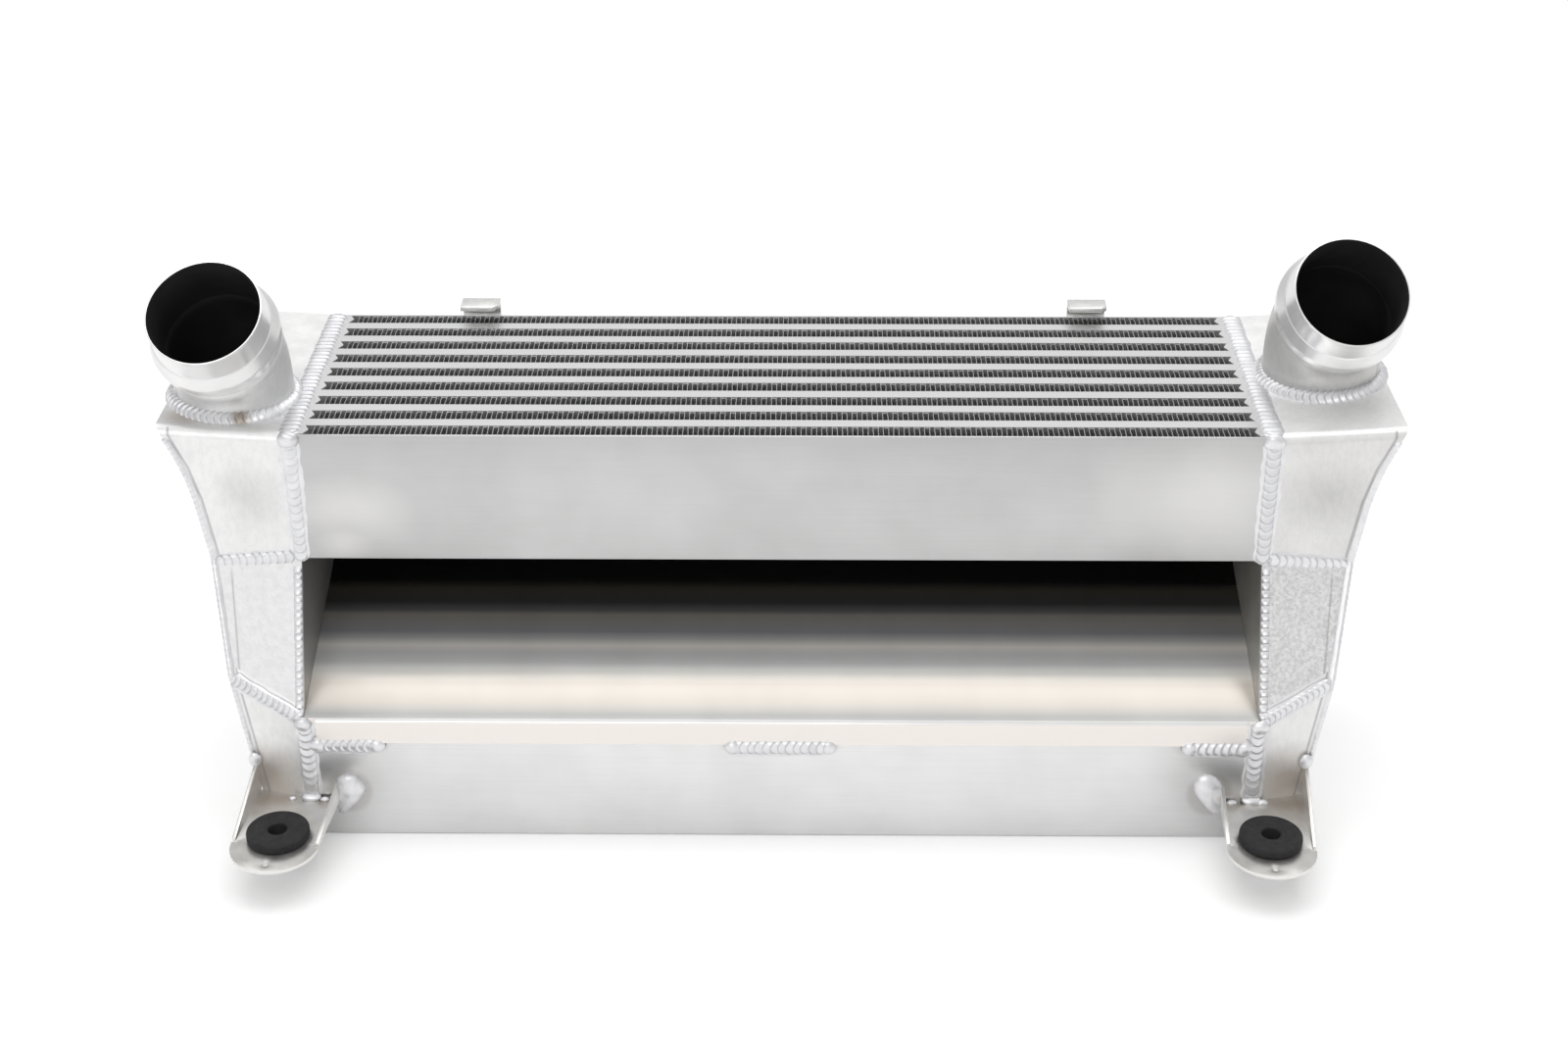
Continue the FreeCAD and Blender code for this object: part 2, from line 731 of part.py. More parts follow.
def outer_wall(name, side):
    """Flared sheet that closes the tank's end, between the front and back panels."""
    body = new_body(f"{name}_outer_wall")
    sketch = new_sketch(body, "XZ", lower_front)
    foot, waist, tip = outer_line(side, 0)
    centre = flare_centre(waist, foot, tip)
    steps = [(foot, None), (waist, (centre, side < 0)), (tip, None)]
    foot, waist, tip = outer_line(side, size.tank_wall)
    centre = flare_centre(waist, foot, tip)
    steps += [(tip, (centre, side > 0)), (waist, None), (foot, None)]
    draw_path(sketch, steps)
    pad_sketch(body, "XZ", sketch, lower_front, upper_back)
    reach_near = core_end - BEYOND
    reach_far = core_end + size.shoulder_width + BEYOND
    above = [
        (reach_near * side, top_line(as_size(-BEYOND), size.tank_wall)),
        (reach_far * side, top_line(size.shoulder_width + BEYOND, size.tank_wall)),
        (reach_far * side, upper_top + BEYOND),
        (reach_near * side, upper_top + BEYOND),
    ]
    cut(body, "XZ", above, lower_front - BEYOND, upper_back + BEYOND)
    cut(body, "YZ", front_region(size.tank_wall), reach_near * side, reach_far * side)
    cut(body, "YZ", back_region(size.tank_wall), reach_near * side, reach_far * side)
    trim_front_of_sweep(body, side, size.tank_wall)
    below = rectangle(lower_front - BEYOND, as_size(-BEYOND), upper_back + BEYOND, size.tank_wall)
    cut(body, "YZ", below, reach_near * side, reach_far * side)


def back_wall(name, side):
    """Back of the tank, one sheet with two folds."""
    body = new_body(f"{name}_back_wall")
    wall = size.tank_wall
    outline = [
        (upper_back, upper_top + BEYOND / 2),
        (upper_back - wall, upper_top + BEYOND / 2),
        (upper_back - wall, upper_bottom),
        (lower_back - wall, lower_top),
        (lower_back - wall, wall),
        (lower_back, wall),
        (lower_back, lower_top),
        (upper_back, upper_bottom),
    ]
    far = core_end + size.shoulder_width
    pad(body, "YZ", outline, core_end * side, far * side)
    above = [
        (core_end * side, top_line(as_size(0), wall)),
        ((far + BEYOND) * side, top_line(size.shoulder_width + BEYOND, wall)),
        ((far + BEYOND) * side, upper_top + BEYOND),
        (core_end * side, upper_top + BEYOND),
    ]
    cut(body, "XZ", above, lower_front, upper_back + BEYOND)
    trim_outside(body, side)


def bottom_plate(name, side):
    """Foot of the tank, level with the bottom of the lower core."""
    body = new_body(f"{name}_bottom_plate")
    foot = core_end + size.foot_width
    outline = [
        (core_end * side, lower_front),
        (foot * side, lower_front + size.foot_width * sweep),
        (foot * side, lower_back),
        (core_end * side, lower_back),
    ]
    pad(body, "XY", outline, as_size(0), size.tank_wall)


def inner_wall(name, side):
    """Side of the air duct, between the two cores."""
    body = new_body(f"{name}_inner_wall")
    wall = size.tank_wall
    outline = [
        (size.upper_front + wall, upper_bottom),
        (upper_back - wall, upper_bottom),
        (lower_back - wall, lower_top),
        (lower_front + wall, lower_top),
    ]
    pad(body, "YZ", outline, core_end * side, (core_end + wall) * side)
    trim_front_of_sweep(body, side, wall)


# Necks and hose adapters


def neck_path(tilt, straight, rise):
    """Corners of a neck's axis in side view, from a point above its foot, and the bend's centre."""
    start = (as_size(0), upper_top - size.tank_wall)
    bend = (start[0], upper_top + rise)
    centre = (start[0] - size.neck_bend, bend[1])
    leave = (centre[0] + size.neck_bend * cosine(tilt), centre[1] + size.neck_bend * sine(tilt))
    end = (leave[0] - straight * sine(tilt), leave[1] + straight * cosine(tilt))
    return start, bend, centre, leave, end


def stand_on_tank(body, side, setback):
    """Put a neck's frame at its foot, turned a little outwards."""
    toe_out = size.neck_toe_out * side
    body.Placement.Rotation = FreeCAD.Rotation(FreeCAD.Vector(0, 0, 1), float(toe_out))
    body.setExpression("Placement.Rotation.Angle", toe_out.formula)
    body.setExpression("Placement.Base.x", ((core_end + neck_offset) * side).formula)
    body.setExpression("Placement.Base.y", (size.upper_front + setback).formula)


def neck(name, side, setback, tilt, straight, rise):
    """Bent tube that stands on the top plate, cut to its slope."""
    body = new_body(f"{name}_neck")
    start, bend, centre, leave, end = neck_path(tilt, straight, rise)
    spine = new_sketch(body, "YZ")
    draw_path(spine, [(start, None), (bend, (centre, True)), (leave, None), (end, None)], closed=False)
    ring = new_sketch(body, "XY", start[1])
    draw_circle(ring, (0, start[0]), neck_radius)
    draw_circle(ring, (0, start[0]), neck_bore)
    pipe = body.newObject("PartDesign::AdditivePipe", "Bend")
    pipe.Profile = ring
    pipe.Spine = spine
    reach = neck_radius * 2
    seat = top_line(neck_offset, -size.neck_seat)
    below = [
        (-reach, seat - reach * rise_rate * side),
        (reach, seat + reach * rise_rate * side),
        (reach, start[1] - BEYOND),
        (-reach, start[1] - BEYOND),
    ]
    cut(body, "XZ", below, -reach, reach)
    stand_on_tank(body, side, setback)


def adapter(name, side, setback, tilt, straight, rise):
    """Turned nose that a hose coupling slides over, on the end of the neck's axis."""
    body = new_body(f"{name}_hose_adapter")
    end = neck_path(tilt, straight, rise)[4]
    mouth = size.adapter_length
    land_end = mouth - size.land_end
    collar = land_end - size.groove_width
    profile = [
        (neck_bore, as_size(0)),
        (neck_radius, as_size(0)),
        (collar_radius, collar / 2),
        (collar_radius, collar),
        (groove_radius, collar),
        (groove_radius, land_end),
        (land_radius, land_end),
        (land_radius, mouth - size.land_start),
        (nose_radius, mouth - size.nose_length),
        (rim_radius, mouth - size.rim_length),
        (rim_radius, mouth),
        (neck_bore, mouth),
    ]
    lean = cosine(tilt)
    drop = sine(tilt)
    outline = []
    for radius, along in profile:
        outline.append((end[0] + radius * lean - along * drop, end[1] + radius * drop + along * lean))
    sketch = new_sketch(body, "YZ")
    draw_polygon(sketch, outline)
    tip = (end[0] - mouth * drop, end[1] + mouth * lean)
    axis = sketch.addGeometry(Part.LineSegment(point(*end), point(*tip)), True)
    for vertex, corner in ((1, end), (2, tip)):
        bind(sketch, "DistanceX", axis, vertex, corner[0])
        bind(sketch, "DistanceY", axis, vertex, corner[1])
    turned = body.newObject("PartDesign::Revolution", "Turned")
    turned.Profile = sketch
    turned.ReferenceAxis = (sketch, ["Axis0"])
    turned.Angle = 360
    stand_on_tank(body, side, setback)


# Mount brackets, rubber mounts and hooks


def bracket_root(side):
    """Where the middle of a bracket meets the front plane of the lower core."""
    return bracket_centre * side + size.bracket_shift


def bracket_flange(body, inner, outer, back, height):
    """One folded-up side of a bracket, highest at its back end."""
    toe = size.relief_width - size.bracket_reach
    outline = [
        (toe, bracket_bottom),
        (back, bracket_bottom),
        (back, size.bracket_floor + height),
        (toe, size.bracket_floor + size.flange_toe),
    ]
    pad(body, "YZ", outline, inner, outer)


def round_fold(body, feature):
    """Round the two folds below the flanges."""
    edges = []
    for index, edge in enumerate(feature.Shape.Edges, 1):
        box = edge.BoundBox
        low = abs(box.ZMax - float(bracket_bottom)) < TOUCH
        along = box.YLength > float(size.bracket_reach) / 2 and box.XLength < TOUCH
        if low and along:
            edges.append(f"Edge{index}")
    fillet = body.newObject("PartDesign::Fillet", "Folds")
    fillet.Base = (feature, edges)
    fillet.setExpression("Radius", size.flange_fold.formula)


def bracket(name, side, turn):
    """Folded bracket with a round nose and two tapering flanges, turned about its root."""
    body = new_body(f"{name}_mount_bracket")
    outer = size.bracket_width / 2 * side
    inner = -outer
    gauge = size.bracket_sheet
    nose = -size.bracket_reach
    slit = nose + size.relief_width
    reach = core_end * side - bracket_root(side)
    corner = (reach * cosine(turn), -(reach * sine(turn)))
    swept = sweep * side
    slant = (swept * cosine(turn) - sine(turn)) / (cosine(turn) + swept * sine(turn))
    inner_ends = (-(inner * tangent(turn)), -((inner + gauge * side) * tangent(turn)))
    outer_face = outer - gauge * side
    floor_outline = [
        (inner, slit),
        (inner, inner_ends[0]),
        corner,
        (outer, corner[1] + (outer - corner[0]) * slant),
        (outer, slit),
    ]
    pad(body, "XY", floor_outline, bracket_bottom, size.bracket_floor)
    inner_back = min(inner_ends, key=float)
    outer_back = corner[1] + (outer_face - corner[0]) * slant
    bracket_flange(body, inner, inner + gauge * side, inner_back, size.inner_flange_height)
    bracket_flange(body, outer_face, outer, outer_back, size.outer_flange_height)
    doc.recompute()
    round_fold(body, body.Tip)
    sketch = new_sketch(body, "XY", bracket_bottom)
    step_in = size.bracket_fold
    steps = [
        ((inner, nose), ((as_size(0), nose), side > 0)),
        ((outer, nose), None),
        ((outer - step_in * side, nose), None),
        ((outer - step_in * side, slit + gauge), None),
        ((inner + step_in * side, slit + gauge), None),
        ((inner + step_in * side, nose), None),
    ]
    draw_path(sketch, steps)
    pad_sketch(body, "XY", sketch, bracket_bottom, size.bracket_floor)
    holes = new_sketch(body, "XY", bracket_bottom - gauge)
    seat = (as_size(0), nose + size.grommet_setback)
    draw_circle(holes, seat, size.grommet_waist / 2 + size.grommet_clearance)
    draw_circle(holes, (as_size(0), nose - size.pilot_reach), size.pilot_diameter / 2)
    cut_sketch(body, "XY", holes, bracket_bottom - gauge, size.bracket_floor + gauge)
    body.Placement.Rotation = FreeCAD.Rotation(FreeCAD.Vector(0, 0, -1), -float(turn))
    body.setExpression("Placement.Rotation.Angle", (-turn).formula)
    body.setExpression("Placement.Base.x", bracket_root(side).formula)
    body.setExpression("Placement.Base.y", lower_front.formula)


def grommet(name, side, turn):
    """Rubber mount with a waist that sits in the bracket's floor."""
    body = new_body(f"{name}_rubber_mount")
    bore = size.grommet_bore / 2
    rim = size.grommet_diameter / 2
    waist = size.grommet_waist / 2
    soft = size.grommet_round
    low = bracket_bottom - size.grommet_clearance
    high = size.bracket_floor + size.grommet_clearance
    bottom = low - size.grommet_flange
    top = high + size.grommet_flange
    sketch = new_sketch(body, "XZ")
    outline = [
        (bore, bottom),
        (rim - soft, bottom),
        (rim, bottom + soft),
        (rim, low),
        (waist, low),
        (waist, high),
        (rim, high),
        (rim, top - soft),
        (rim - soft, top),
        (bore, top),
    ]
    draw_polygon(sketch, outline)
    turned = body.newObject("PartDesign::Revolution", "Moulded")
    turned.Profile = sketch
    turned.ReferenceAxis = (sketch, ["V_Axis"])
    turned.Angle = 360
    ahead = size.bracket_reach - size.grommet_setback
    body.setExpression("Placement.Base.x", (bracket_root(side) + ahead * sine(turn)).formula)
    body.setExpression("Placement.Base.y", (lower_front - ahead * cosine(turn)).formula)


def hook(name, side):
    """Strip behind the upper core, bent forward over its top face."""
    body = new_body(f"{name}_hanger_hook")
    middle = (core_end - size.hook_inset) * side
    gauge = size.hook_sheet
    top = upper_top + size.hook_rise
    back = upper_back + gauge
    tip = back - size.hook_flange
    outline = [
        (upper_back, upper_top - size.hook_leg),
        (back, upper_top - size.hook_leg),
        (back, top - gauge / 3),
        (back - gauge / 3, top),
        (tip, top),
        (tip, top - gauge),
        (upper_back, top - gauge),
    ]
    pad(body, "YZ", outline, middle - size.hook_width / 2, middle + size.hook_width / 2)
    corner = middle + size.hook_width / 2
    bevel = [
        (corner - size.hook_bevel, tip),
        (corner, tip),
        (corner, tip + size.hook_bevel),
    ]
    cut(body, "XY", bevel, top - gauge * 2, top + gauge)


# Weld beads


def vector(*coordinates):
    return FreeCAD.Vector(*[float(value) for value in coordinates])


def bead_face(base, crown):
    """Section of a bead: straight lines along the base corners, and an arc over crown."""
    edges = [Part.Arc(base[-1], crown, base[0]).toShape()]
    for start, end in zip(base, base[1:]):
        edges.append(Part.makeLine(start, end))
    return Part.Face(Part.Wire(Part.__sortEdges__(edges)))


def straight_bead(base, crown, travel):
    return bead_face(base, crown).extrude(travel)


def neck_foot(side, setback):
    """Where a neck's axis meets the top plate."""
    across = (core_end + neck_offset) * side
    return vector(across, size.upper_front + setback, top_line(neck_offset, 0))


def core_welds(name, side, setback):
    """Beads along the core's end: over the fin face, down the upper and the lower front."""
    half = size.face_bead_width / 2
    narrow = size.seam_bead_width / 2
    end = core_end * side
    face = [
        vector(end - half * side, size.upper_front, upper_top),
        vector(end, size.upper_front, upper_top),
        vector(end + half * side, size.upper_front, top_line(half, 0)),
    ]
    crown = vector(end, size.upper_front, upper_top + size.face_bead_height)
    top_bead = straight_bead(face, crown, vector(0, core_depth, 0))
    foot = neck_foot(side, setback) - vector(0, 0, size.core_height)
    room = float(neck_radius + size.seat_gap)
    beads = [top_bead.cut(Part.makeCylinder(room, 2 * float(size.core_height), foot)).Solids[0]]
    upper = [
        vector(end - narrow * side, size.upper_front, upper_bottom),
        vector(end + narrow * side, size.upper_front, upper_bottom),
    ]
    crown = vector(end, size.upper_front - size.seam_bead_height, upper_bottom)
    beads.append(straight_bead(upper, crown, vector(0, 0, size.core_height - size.fold_radius)))
    start = size.bracket_floor + size.seat_gap
    lower = [
        vector(end - narrow * side, lower_front, start),
        vector(end, lower_front, start),
        vector(end + narrow * side, lower_front + narrow * sweep, start),
    ]
    crown = vector(end, lower_front - size.seam_bead_height, start)
    beads.append(straight_bead(lower, crown, vector(0, 0, lower_top - start)))
    keep_shape(f"{name}_core_welds", beads)


def seam_ends(side, margin):
    """Where the slanted and the lower panel meet: inner and outer end of the seam."""
    straight = (size.waist_width - size.foot_width) / (upper_top - size.waist_drop)
    height_rate = sweep / lean_back
    reach_out = (size.foot_width + straight * lower_top) / (1 - straight * height_rate)
    ends = []
    for reach in (as_size(margin), reach_out - margin):
        height = lower_top + reach * height_rate
        ends.append(vector((core_end + reach) * side, lower_front + reach * sweep, height))
    return ends


def tank_welds(name, side):
    """Beads across the tank's front: two seams and the edge beside the duct."""
    half = size.seam_bead_width / 2
    high = size.seam_bead_height
    start = (core_end + half + size.seat_gap) * side
    end = (core_end + size.waist_width - size.seam_short) * side
    seam = [
        vector(start, size.upper_front, upper_bottom + half),
        vector(start, size.upper_front, upper_bottom),
        vector(start, size.upper_front - half * lean_back, upper_bottom - half),
    ]
    crown = vector(start, size.upper_front - high, upper_bottom)
    beads = [straight_bead(seam, crown, vector(end - start, 0, 0))]
    first, last = seam_ends(side, size.edge_bead_width + size.edge_bead_height / 4)
    face = [first + vector(0, half * lean_back, half), first, first - vector(0, 0, half)]
    beads.append(straight_bead(face, first - vector(0, high, 0), last - first))
    top = upper_bottom - half - size.seat_gap
    drop = top - lower_top - size.edge_bead_width
    front = size.upper_front - (upper_bottom - top) * lean_back
    edge = [
        vector(core_end * side, front, top),
        vector((core_end + size.edge_bead_width) * side, front, top),
    ]
    crown = vector((core_end + size.edge_bead_width / 2) * side, front - size.edge_bead_height, top)
    beads.append(straight_bead(edge, crown, vector(0, -(drop * lean_back), -drop)))
    keep_shape(f"{name}_tank_welds", beads)


def side_box(side, start, reach, foot):
    """A block that fills everything between two distances from the middle, around a neck."""
    near = float(start) * side
    far = float(start + reach) * side
    corner = vector(min(near, far), foot.y - float(reach), upper_bottom)
    return Part.makeBox(abs(far - near), 2 * float(reach), 2 * float(size.core_height), corner)


def neck_weld(name, side, setback):
    """Fillet ring around the foot of a neck, trimmed by the face bead and the plate's edge."""
    foot = neck_foot(side, setback)
    radius = neck_radius + size.seat_gap
    leg = size.ring_bead
    section = [
        vector(radius, 0, leg),
        vector(radius, 0, -size.shoulder_rise),
        vector(radius + leg, 0, -size.shoulder_rise),
        vector(radius + leg, 0, 0),
    ]
    crown = vector(radius + leg * size.ring_crown, 0, leg * size.ring_crown)
    ring = bead_face(section, crown).revolve(vector(0, 0, 0), vector(0, 0, 1), 360)
    ring.translate(foot)
    reach = radius + leg + BEYOND
    slope = rise_rate * side
    below = [
        foot + vector(-reach, -reach, -reach * slope),
        foot + vector(reach, -reach, reach * slope),
        foot + vector(reach, -reach, -reach),
        foot + vector(-reach, -reach, -reach),
    ]
    wedge = Part.Face(Part.makePolygon(below + below[:1])).extrude(vector(0, reach * 2, 0))
    beside_core = side_box(side, core_end + size.face_bead_width / 2 + size.seat_gap - reach, reach, foot)
    past_plate = side_box(side, core_end + size.shoulder_width + size.ring_trim, reach, foot)
    keep_shape(f"{name}_neck_weld", [ring.cut(wedge).cut(beside_core).cut(past_plate).Solids[0]])


def deflector_welds():
    """Three stitches along the lower edge of the deflector's lip."""
    edge = lower_top - size.lip_height
    face = lower_front - size.deflector_sheet
    lip_half = core_end - size.lip_end_gap
    spans = (
        (-lip_half, -lip_half + size.end_stitch_length),
        (-size.stitch_length / 2, size.stitch_length / 2),
        (lip_half - size.end_stitch_length, lip_half),
    )
    beads = []
    for start, end in spans:
        base = [
            vector(start, face, edge + size.stitch_above),
            vector(start, face, edge),
            vector(start, lower_front, edge),
            vector(start, lower_front, edge - size.stitch_below),
        ]
        crown = vector(start, face - size.seam_bead_height, edge - size.stitch_above / 2)
        beads.append(straight_bead(base, crown, vector(end - start, 0, 0)))
    keep_shape("deflector_welds", beads)


def bracket_weld(name, side, turn):
    """Round blob that joins the bracket's inner flange to the lower core."""
    inner = bracket_root(side) - size.bracket_width / 2 / cosine(turn) * side
    high = size.bracket_bead_height
    reach = size.bracket_bead_width
    middle = size.bracket_bead_middle
    low = middle - reach
    base = [
        vector(inner + tangent(turn) * high, lower_front - high, low),
        vector(inner, lower_front, low),
        vector(inner - reach * side, lower_front, low),
    ]
    top = vector(inner - reach * size.bracket_bead_crown * side, lower_front - high * size.bracket_bead_full, low)
    column = straight_bead(base, top, vector(0, 0, reach * 2))
    behind = vector(inner, lower_front - high * 2, middle)
    disc = Part.makeCylinder(float(reach), float(high * 3), behind, vector(0, 1, 0))
    keep_shape(f"{name}_bracket_weld", [column.common(disc).Solids[0]])


def corner_point(side, height, front):
    """A point of the tank's outer upright corner, at the front or at the back."""
    foot, waist, tip = outer_line(side, 0)
    across = foot[0] + (waist[0] - foot[0]) / waist[1] * height
    upper = size.upper_front if front else upper_back
    lower = lower_front + (across * side - core_end) * sweep if front else lower_back
    slanted = upper - (upper_bottom - height) * lean_back
    if float(height) >= float(upper_bottom):
        depth = upper
    elif float(slanted) > float(lower):
        depth = slanted
    else:
        depth = lower
    return (across, depth)


def corner_section(side, spot, height, ahead, turn):
    """Section of a corner bead that wraps from the front or back face onto the outer wall."""
    across, depth = spot
    width = size.edge_bead_width / 2
    out = size.corner_bead_height
    base = [
        vector(across - width * side, depth - width * turn, height),
        vector(across, depth, height),
        vector(across, depth - width * ahead, height),
    ]
    return base, vector(across + out * side, depth + out * ahead, height)


def edge_welds(name, side):
    """Beads along the outer upright corners, at the front and at the back."""
    foot, waist, tip = outer_line(side, 0)
    gap = size.seat_gap
    beads = []
    for front in (True, False):
        ahead = -1 if front else 1
        turn = sweep if front else as_size(0)
        middle = as_size(seam_ends(side, 0)[1].z) if front else lower_top
        lowest = size.bracket_floor + size.outer_flange_height if front else size.tank_wall
        heights = (
            (lowest + gap, middle - gap, turn),
            (middle + gap, upper_bottom - gap, as_size(0)),
            (upper_bottom + gap, waist[1] - gap, as_size(0)),
        )
        for low, high, section_turn in heights:
            start = corner_point(side, low, front)
            end = corner_point(side, high, front)
            base, crown = corner_section(side, start, low, ahead, section_turn)
            travel = vector(end[0] - start[0], end[1] - start[1], high - low)
            beads.append(straight_bead(base, crown, travel))
        upper = size.upper_front if front else upper_back
        base, crown = corner_section(side, (waist[0], upper), waist[1], ahead, as_size(0))
        centre = flare_centre(waist, foot, tip)
        axis = vector(centre[0], upper, centre[1])
        begin = vector(waist[0], upper, waist[1]) - axis
        spread = vector(tip[0], upper, tip[1]) - axis
        short = float(size.fold_radius) / begin.Length
        turned = math.degrees(begin.getAngle(spread) - short) * side
        beads.append(bead_face(base, crown).revolve(axis, vector(0, 1, 0), turned))
    keep_shape(f"{name}_edge_welds", beads)


for tank_name, tank_side in SIDES:
    tank_setback = getattr(size, f"{tank_name}_neck_setback")
    tank_turn = getattr(size, f"{tank_name}_bracket_turn")
    bend_sizes = (
        tank_setback,
        getattr(size, f"{tank_name}_neck_tilt"),
        getattr(size, f"{tank_name}_neck_straight"),
        getattr(size, f"{tank_name}_neck_rise"),
    )
    shoulder_panel(tank_name, tank_side, tank_setback)
    middle_panel(tank_name, tank_side)
    lower_panel(tank_name, tank_side)
    outer_wall(tank_name, tank_side)
    back_wall(tank_name, tank_side)
    bottom_plate(tank_name, tank_side)
    inner_wall(tank_name, tank_side)
    neck(tank_name, tank_side, *bend_sizes)
    adapter(tank_name, tank_side, *bend_sizes)
    bracket(tank_name, tank_side, tank_turn)
    grommet(tank_name, tank_side, tank_turn)
    hook(tank_name, tank_side)
    core_welds(tank_name, tank_side, tank_setback)
    tank_welds(tank_name, tank_side)
    neck_weld(tank_name, tank_side, tank_setback)
    bracket_weld(tank_name, tank_side, tank_turn)
    edge_welds(tank_name, tank_side)
deflector_welds()

doc.recompute()

# Nothing is written unless every object is sound
faults = []
for item in doc.Objects:
    if "Invalid" in item.State or "Error" in item.State:
        owner = item.getParentGeoFeatureGroup()
        faults.append(f"{item.Label} of {owner.Label if owner else 'the document'}: {item.State}")
for part in parts:
    if part.Shape.isNull() or not part.Shape.isValid():
        faults.append(f"{part.Label} has no valid shape")
if faults:
    raise RuntimeError("; ".join(faults))

os.makedirs("parts", exist_ok=True)
for part in parts:
    part.Shape.exportStep(f"parts/{part.Label}.step")
    print(f"{part.Label}: {len(part.Shape.Solids)} solids, {part.Shape.Volume:.0f} mm3")
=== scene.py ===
import bmesh
import bpy
import json
import math
from mathutils import Matrix, Vector, noise


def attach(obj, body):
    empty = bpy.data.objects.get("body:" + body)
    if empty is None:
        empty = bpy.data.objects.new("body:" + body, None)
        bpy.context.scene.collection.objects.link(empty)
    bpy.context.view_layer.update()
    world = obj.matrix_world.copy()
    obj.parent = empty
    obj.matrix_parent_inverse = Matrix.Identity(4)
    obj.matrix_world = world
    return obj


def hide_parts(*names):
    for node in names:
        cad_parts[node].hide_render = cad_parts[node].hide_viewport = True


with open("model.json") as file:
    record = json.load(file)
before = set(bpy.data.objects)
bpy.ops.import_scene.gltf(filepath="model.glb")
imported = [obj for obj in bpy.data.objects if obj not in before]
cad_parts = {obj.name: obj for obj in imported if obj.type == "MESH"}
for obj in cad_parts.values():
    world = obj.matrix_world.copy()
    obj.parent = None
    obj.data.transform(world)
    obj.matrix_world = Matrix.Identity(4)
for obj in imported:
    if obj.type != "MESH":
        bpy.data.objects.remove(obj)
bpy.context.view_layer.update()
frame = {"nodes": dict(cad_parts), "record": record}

# Sizes in millimetres, in the part's frame
CORE_END = 260
UPPER_FRONT = -26
LOWER_FRONT = -63
CORE_HEIGHT = 75
UPPER_BOTTOM = 156
UPPER_TOP = UPPER_BOTTOM + CORE_HEIGHT
LOWER_TOP = CORE_HEIGHT
CORE_DEPTH = 155.4
LAYER_PITCH = 17.8
SIDE_PLATE = 1.5
FIN_LAYERS = 9
FIN_LAYER = 10
FIN_SPACING = 2.72
END_BAR = 10
CORES = (("upper", UPPER_FRONT, UPPER_BOTTOM), ("lower", LOWER_FRONT, 0))
SIDES = (("left", -1), ("right", 1))
STEP_BACK = UPPER_FRONT - LOWER_FRONT
SWEEP = math.tan(math.radians(14))
LEAN_BACK = STEP_BACK / (UPPER_BOTTOM - LOWER_TOP)
# Reach of the tank's outer wall from the core's end: at its foot, at its waist and at its flared tip
FOOT_REACH = 26
WAIST_REACH = 53
WAIST_HEIGHT = UPPER_TOP - 45
WALL_RATE = (WAIST_REACH - FOOT_REACH) / WAIST_HEIGHT
TIP_REACH = 70
TIP_RISE = 4.5
RISE_RATE = TIP_RISE / TIP_REACH
NECKS = {
    "left": {"x": -296.5, "y": 18.2, "tilt": 36.5, "straight": 9.2, "rise": 8.5},
    "right": {"x": 296.5, "y": 47.4, "tilt": 43.5, "straight": 6.1, "rise": 12.5},
}
NECK_BEND = 40
NECK_FOOT = UPPER_TOP - 2.5
TOE_OUT = 5.5
NECK_RADIUS = 31.75
NECK_BORE = 30.1
MOUTH_BORE = 29.7
BRACKETS = {"left": {"x": -268.55, "turn": -5.5}, "right": {"x": 266.95, "turn": -3.2}}
NOSE_REACH = 43.5
BUSH_SETBACK = 7.2
BRACKET_FLOOR = 24
LIP_HEIGHT = 60
AHEAD = Vector((0, -1, 0))
UPWARD = Vector((0, 0, 1))
RIGHTWARD = Vector((1, 0, 0))


# Node materials


def new_material(name, metal, rough):
    """A material with its shader, and the shader's node tree."""
    material = bpy.data.materials.new(name)
    material.use_nodes = True
    tree = material.node_tree
    shader = tree.nodes["Principled BSDF"]
    shader.inputs["Metallic"].default_value = metal
    shader.inputs["Roughness"].default_value = rough
    return material, tree, shader


def paint(tree, shader, colour, rough=None):
    """Plug in the colour, and the roughness where it varies."""
    tree.links.new(colour, shader.inputs["Base Color"])
    if rough is not None:
        tree.links.new(rough, shader.inputs["Roughness"])


def place_node(tree, scale=(1, 1, 1)):
    """Object coordinates in millimetres, stretched by scale."""
    coords = tree.nodes.new("ShaderNodeTexCoord")
    mapping = tree.nodes.new("ShaderNodeMapping")
    mapping.inputs["Scale"].default_value = [1000 * factor for factor in scale]
    tree.links.new(coords.outputs["Object"], mapping.inputs["Vector"])
    return mapping.outputs["Vector"]


def noise_node(tree, scale, detail=3, roughness=0.5, stretch=(1, 1, 1)):
    """Noise with a grain of about 1/scale millimetres."""
    node = tree.nodes.new("ShaderNodeTexNoise")
    node.inputs["Scale"].default_value = scale
    node.inputs["Detail"].default_value = detail
    node.inputs["Roughness"].default_value = roughness
    tree.links.new(place_node(tree, stretch), node.inputs["Vector"])
    return node.outputs["Fac"]


def rgba(colour):
    """A colour with its alpha; a single number is a grey."""
    return (colour, colour, colour, 1) if isinstance(colour, (int, float)) else (*colour, 1)


def ramp_node(tree, source, stops):
    """A colour ramp over source: stops are (position, colour)."""
    node = tree.nodes.new("ShaderNodeValToRGB")
    elements = node.color_ramp.elements
    while len(elements) < len(stops):
        elements.new(0.5)
    for element, (position, colour) in zip(elements, stops):
        element.position = position
        element.color = rgba(colour)
    tree.links.new(source, node.inputs["Fac"])
    return node.outputs["Color"]


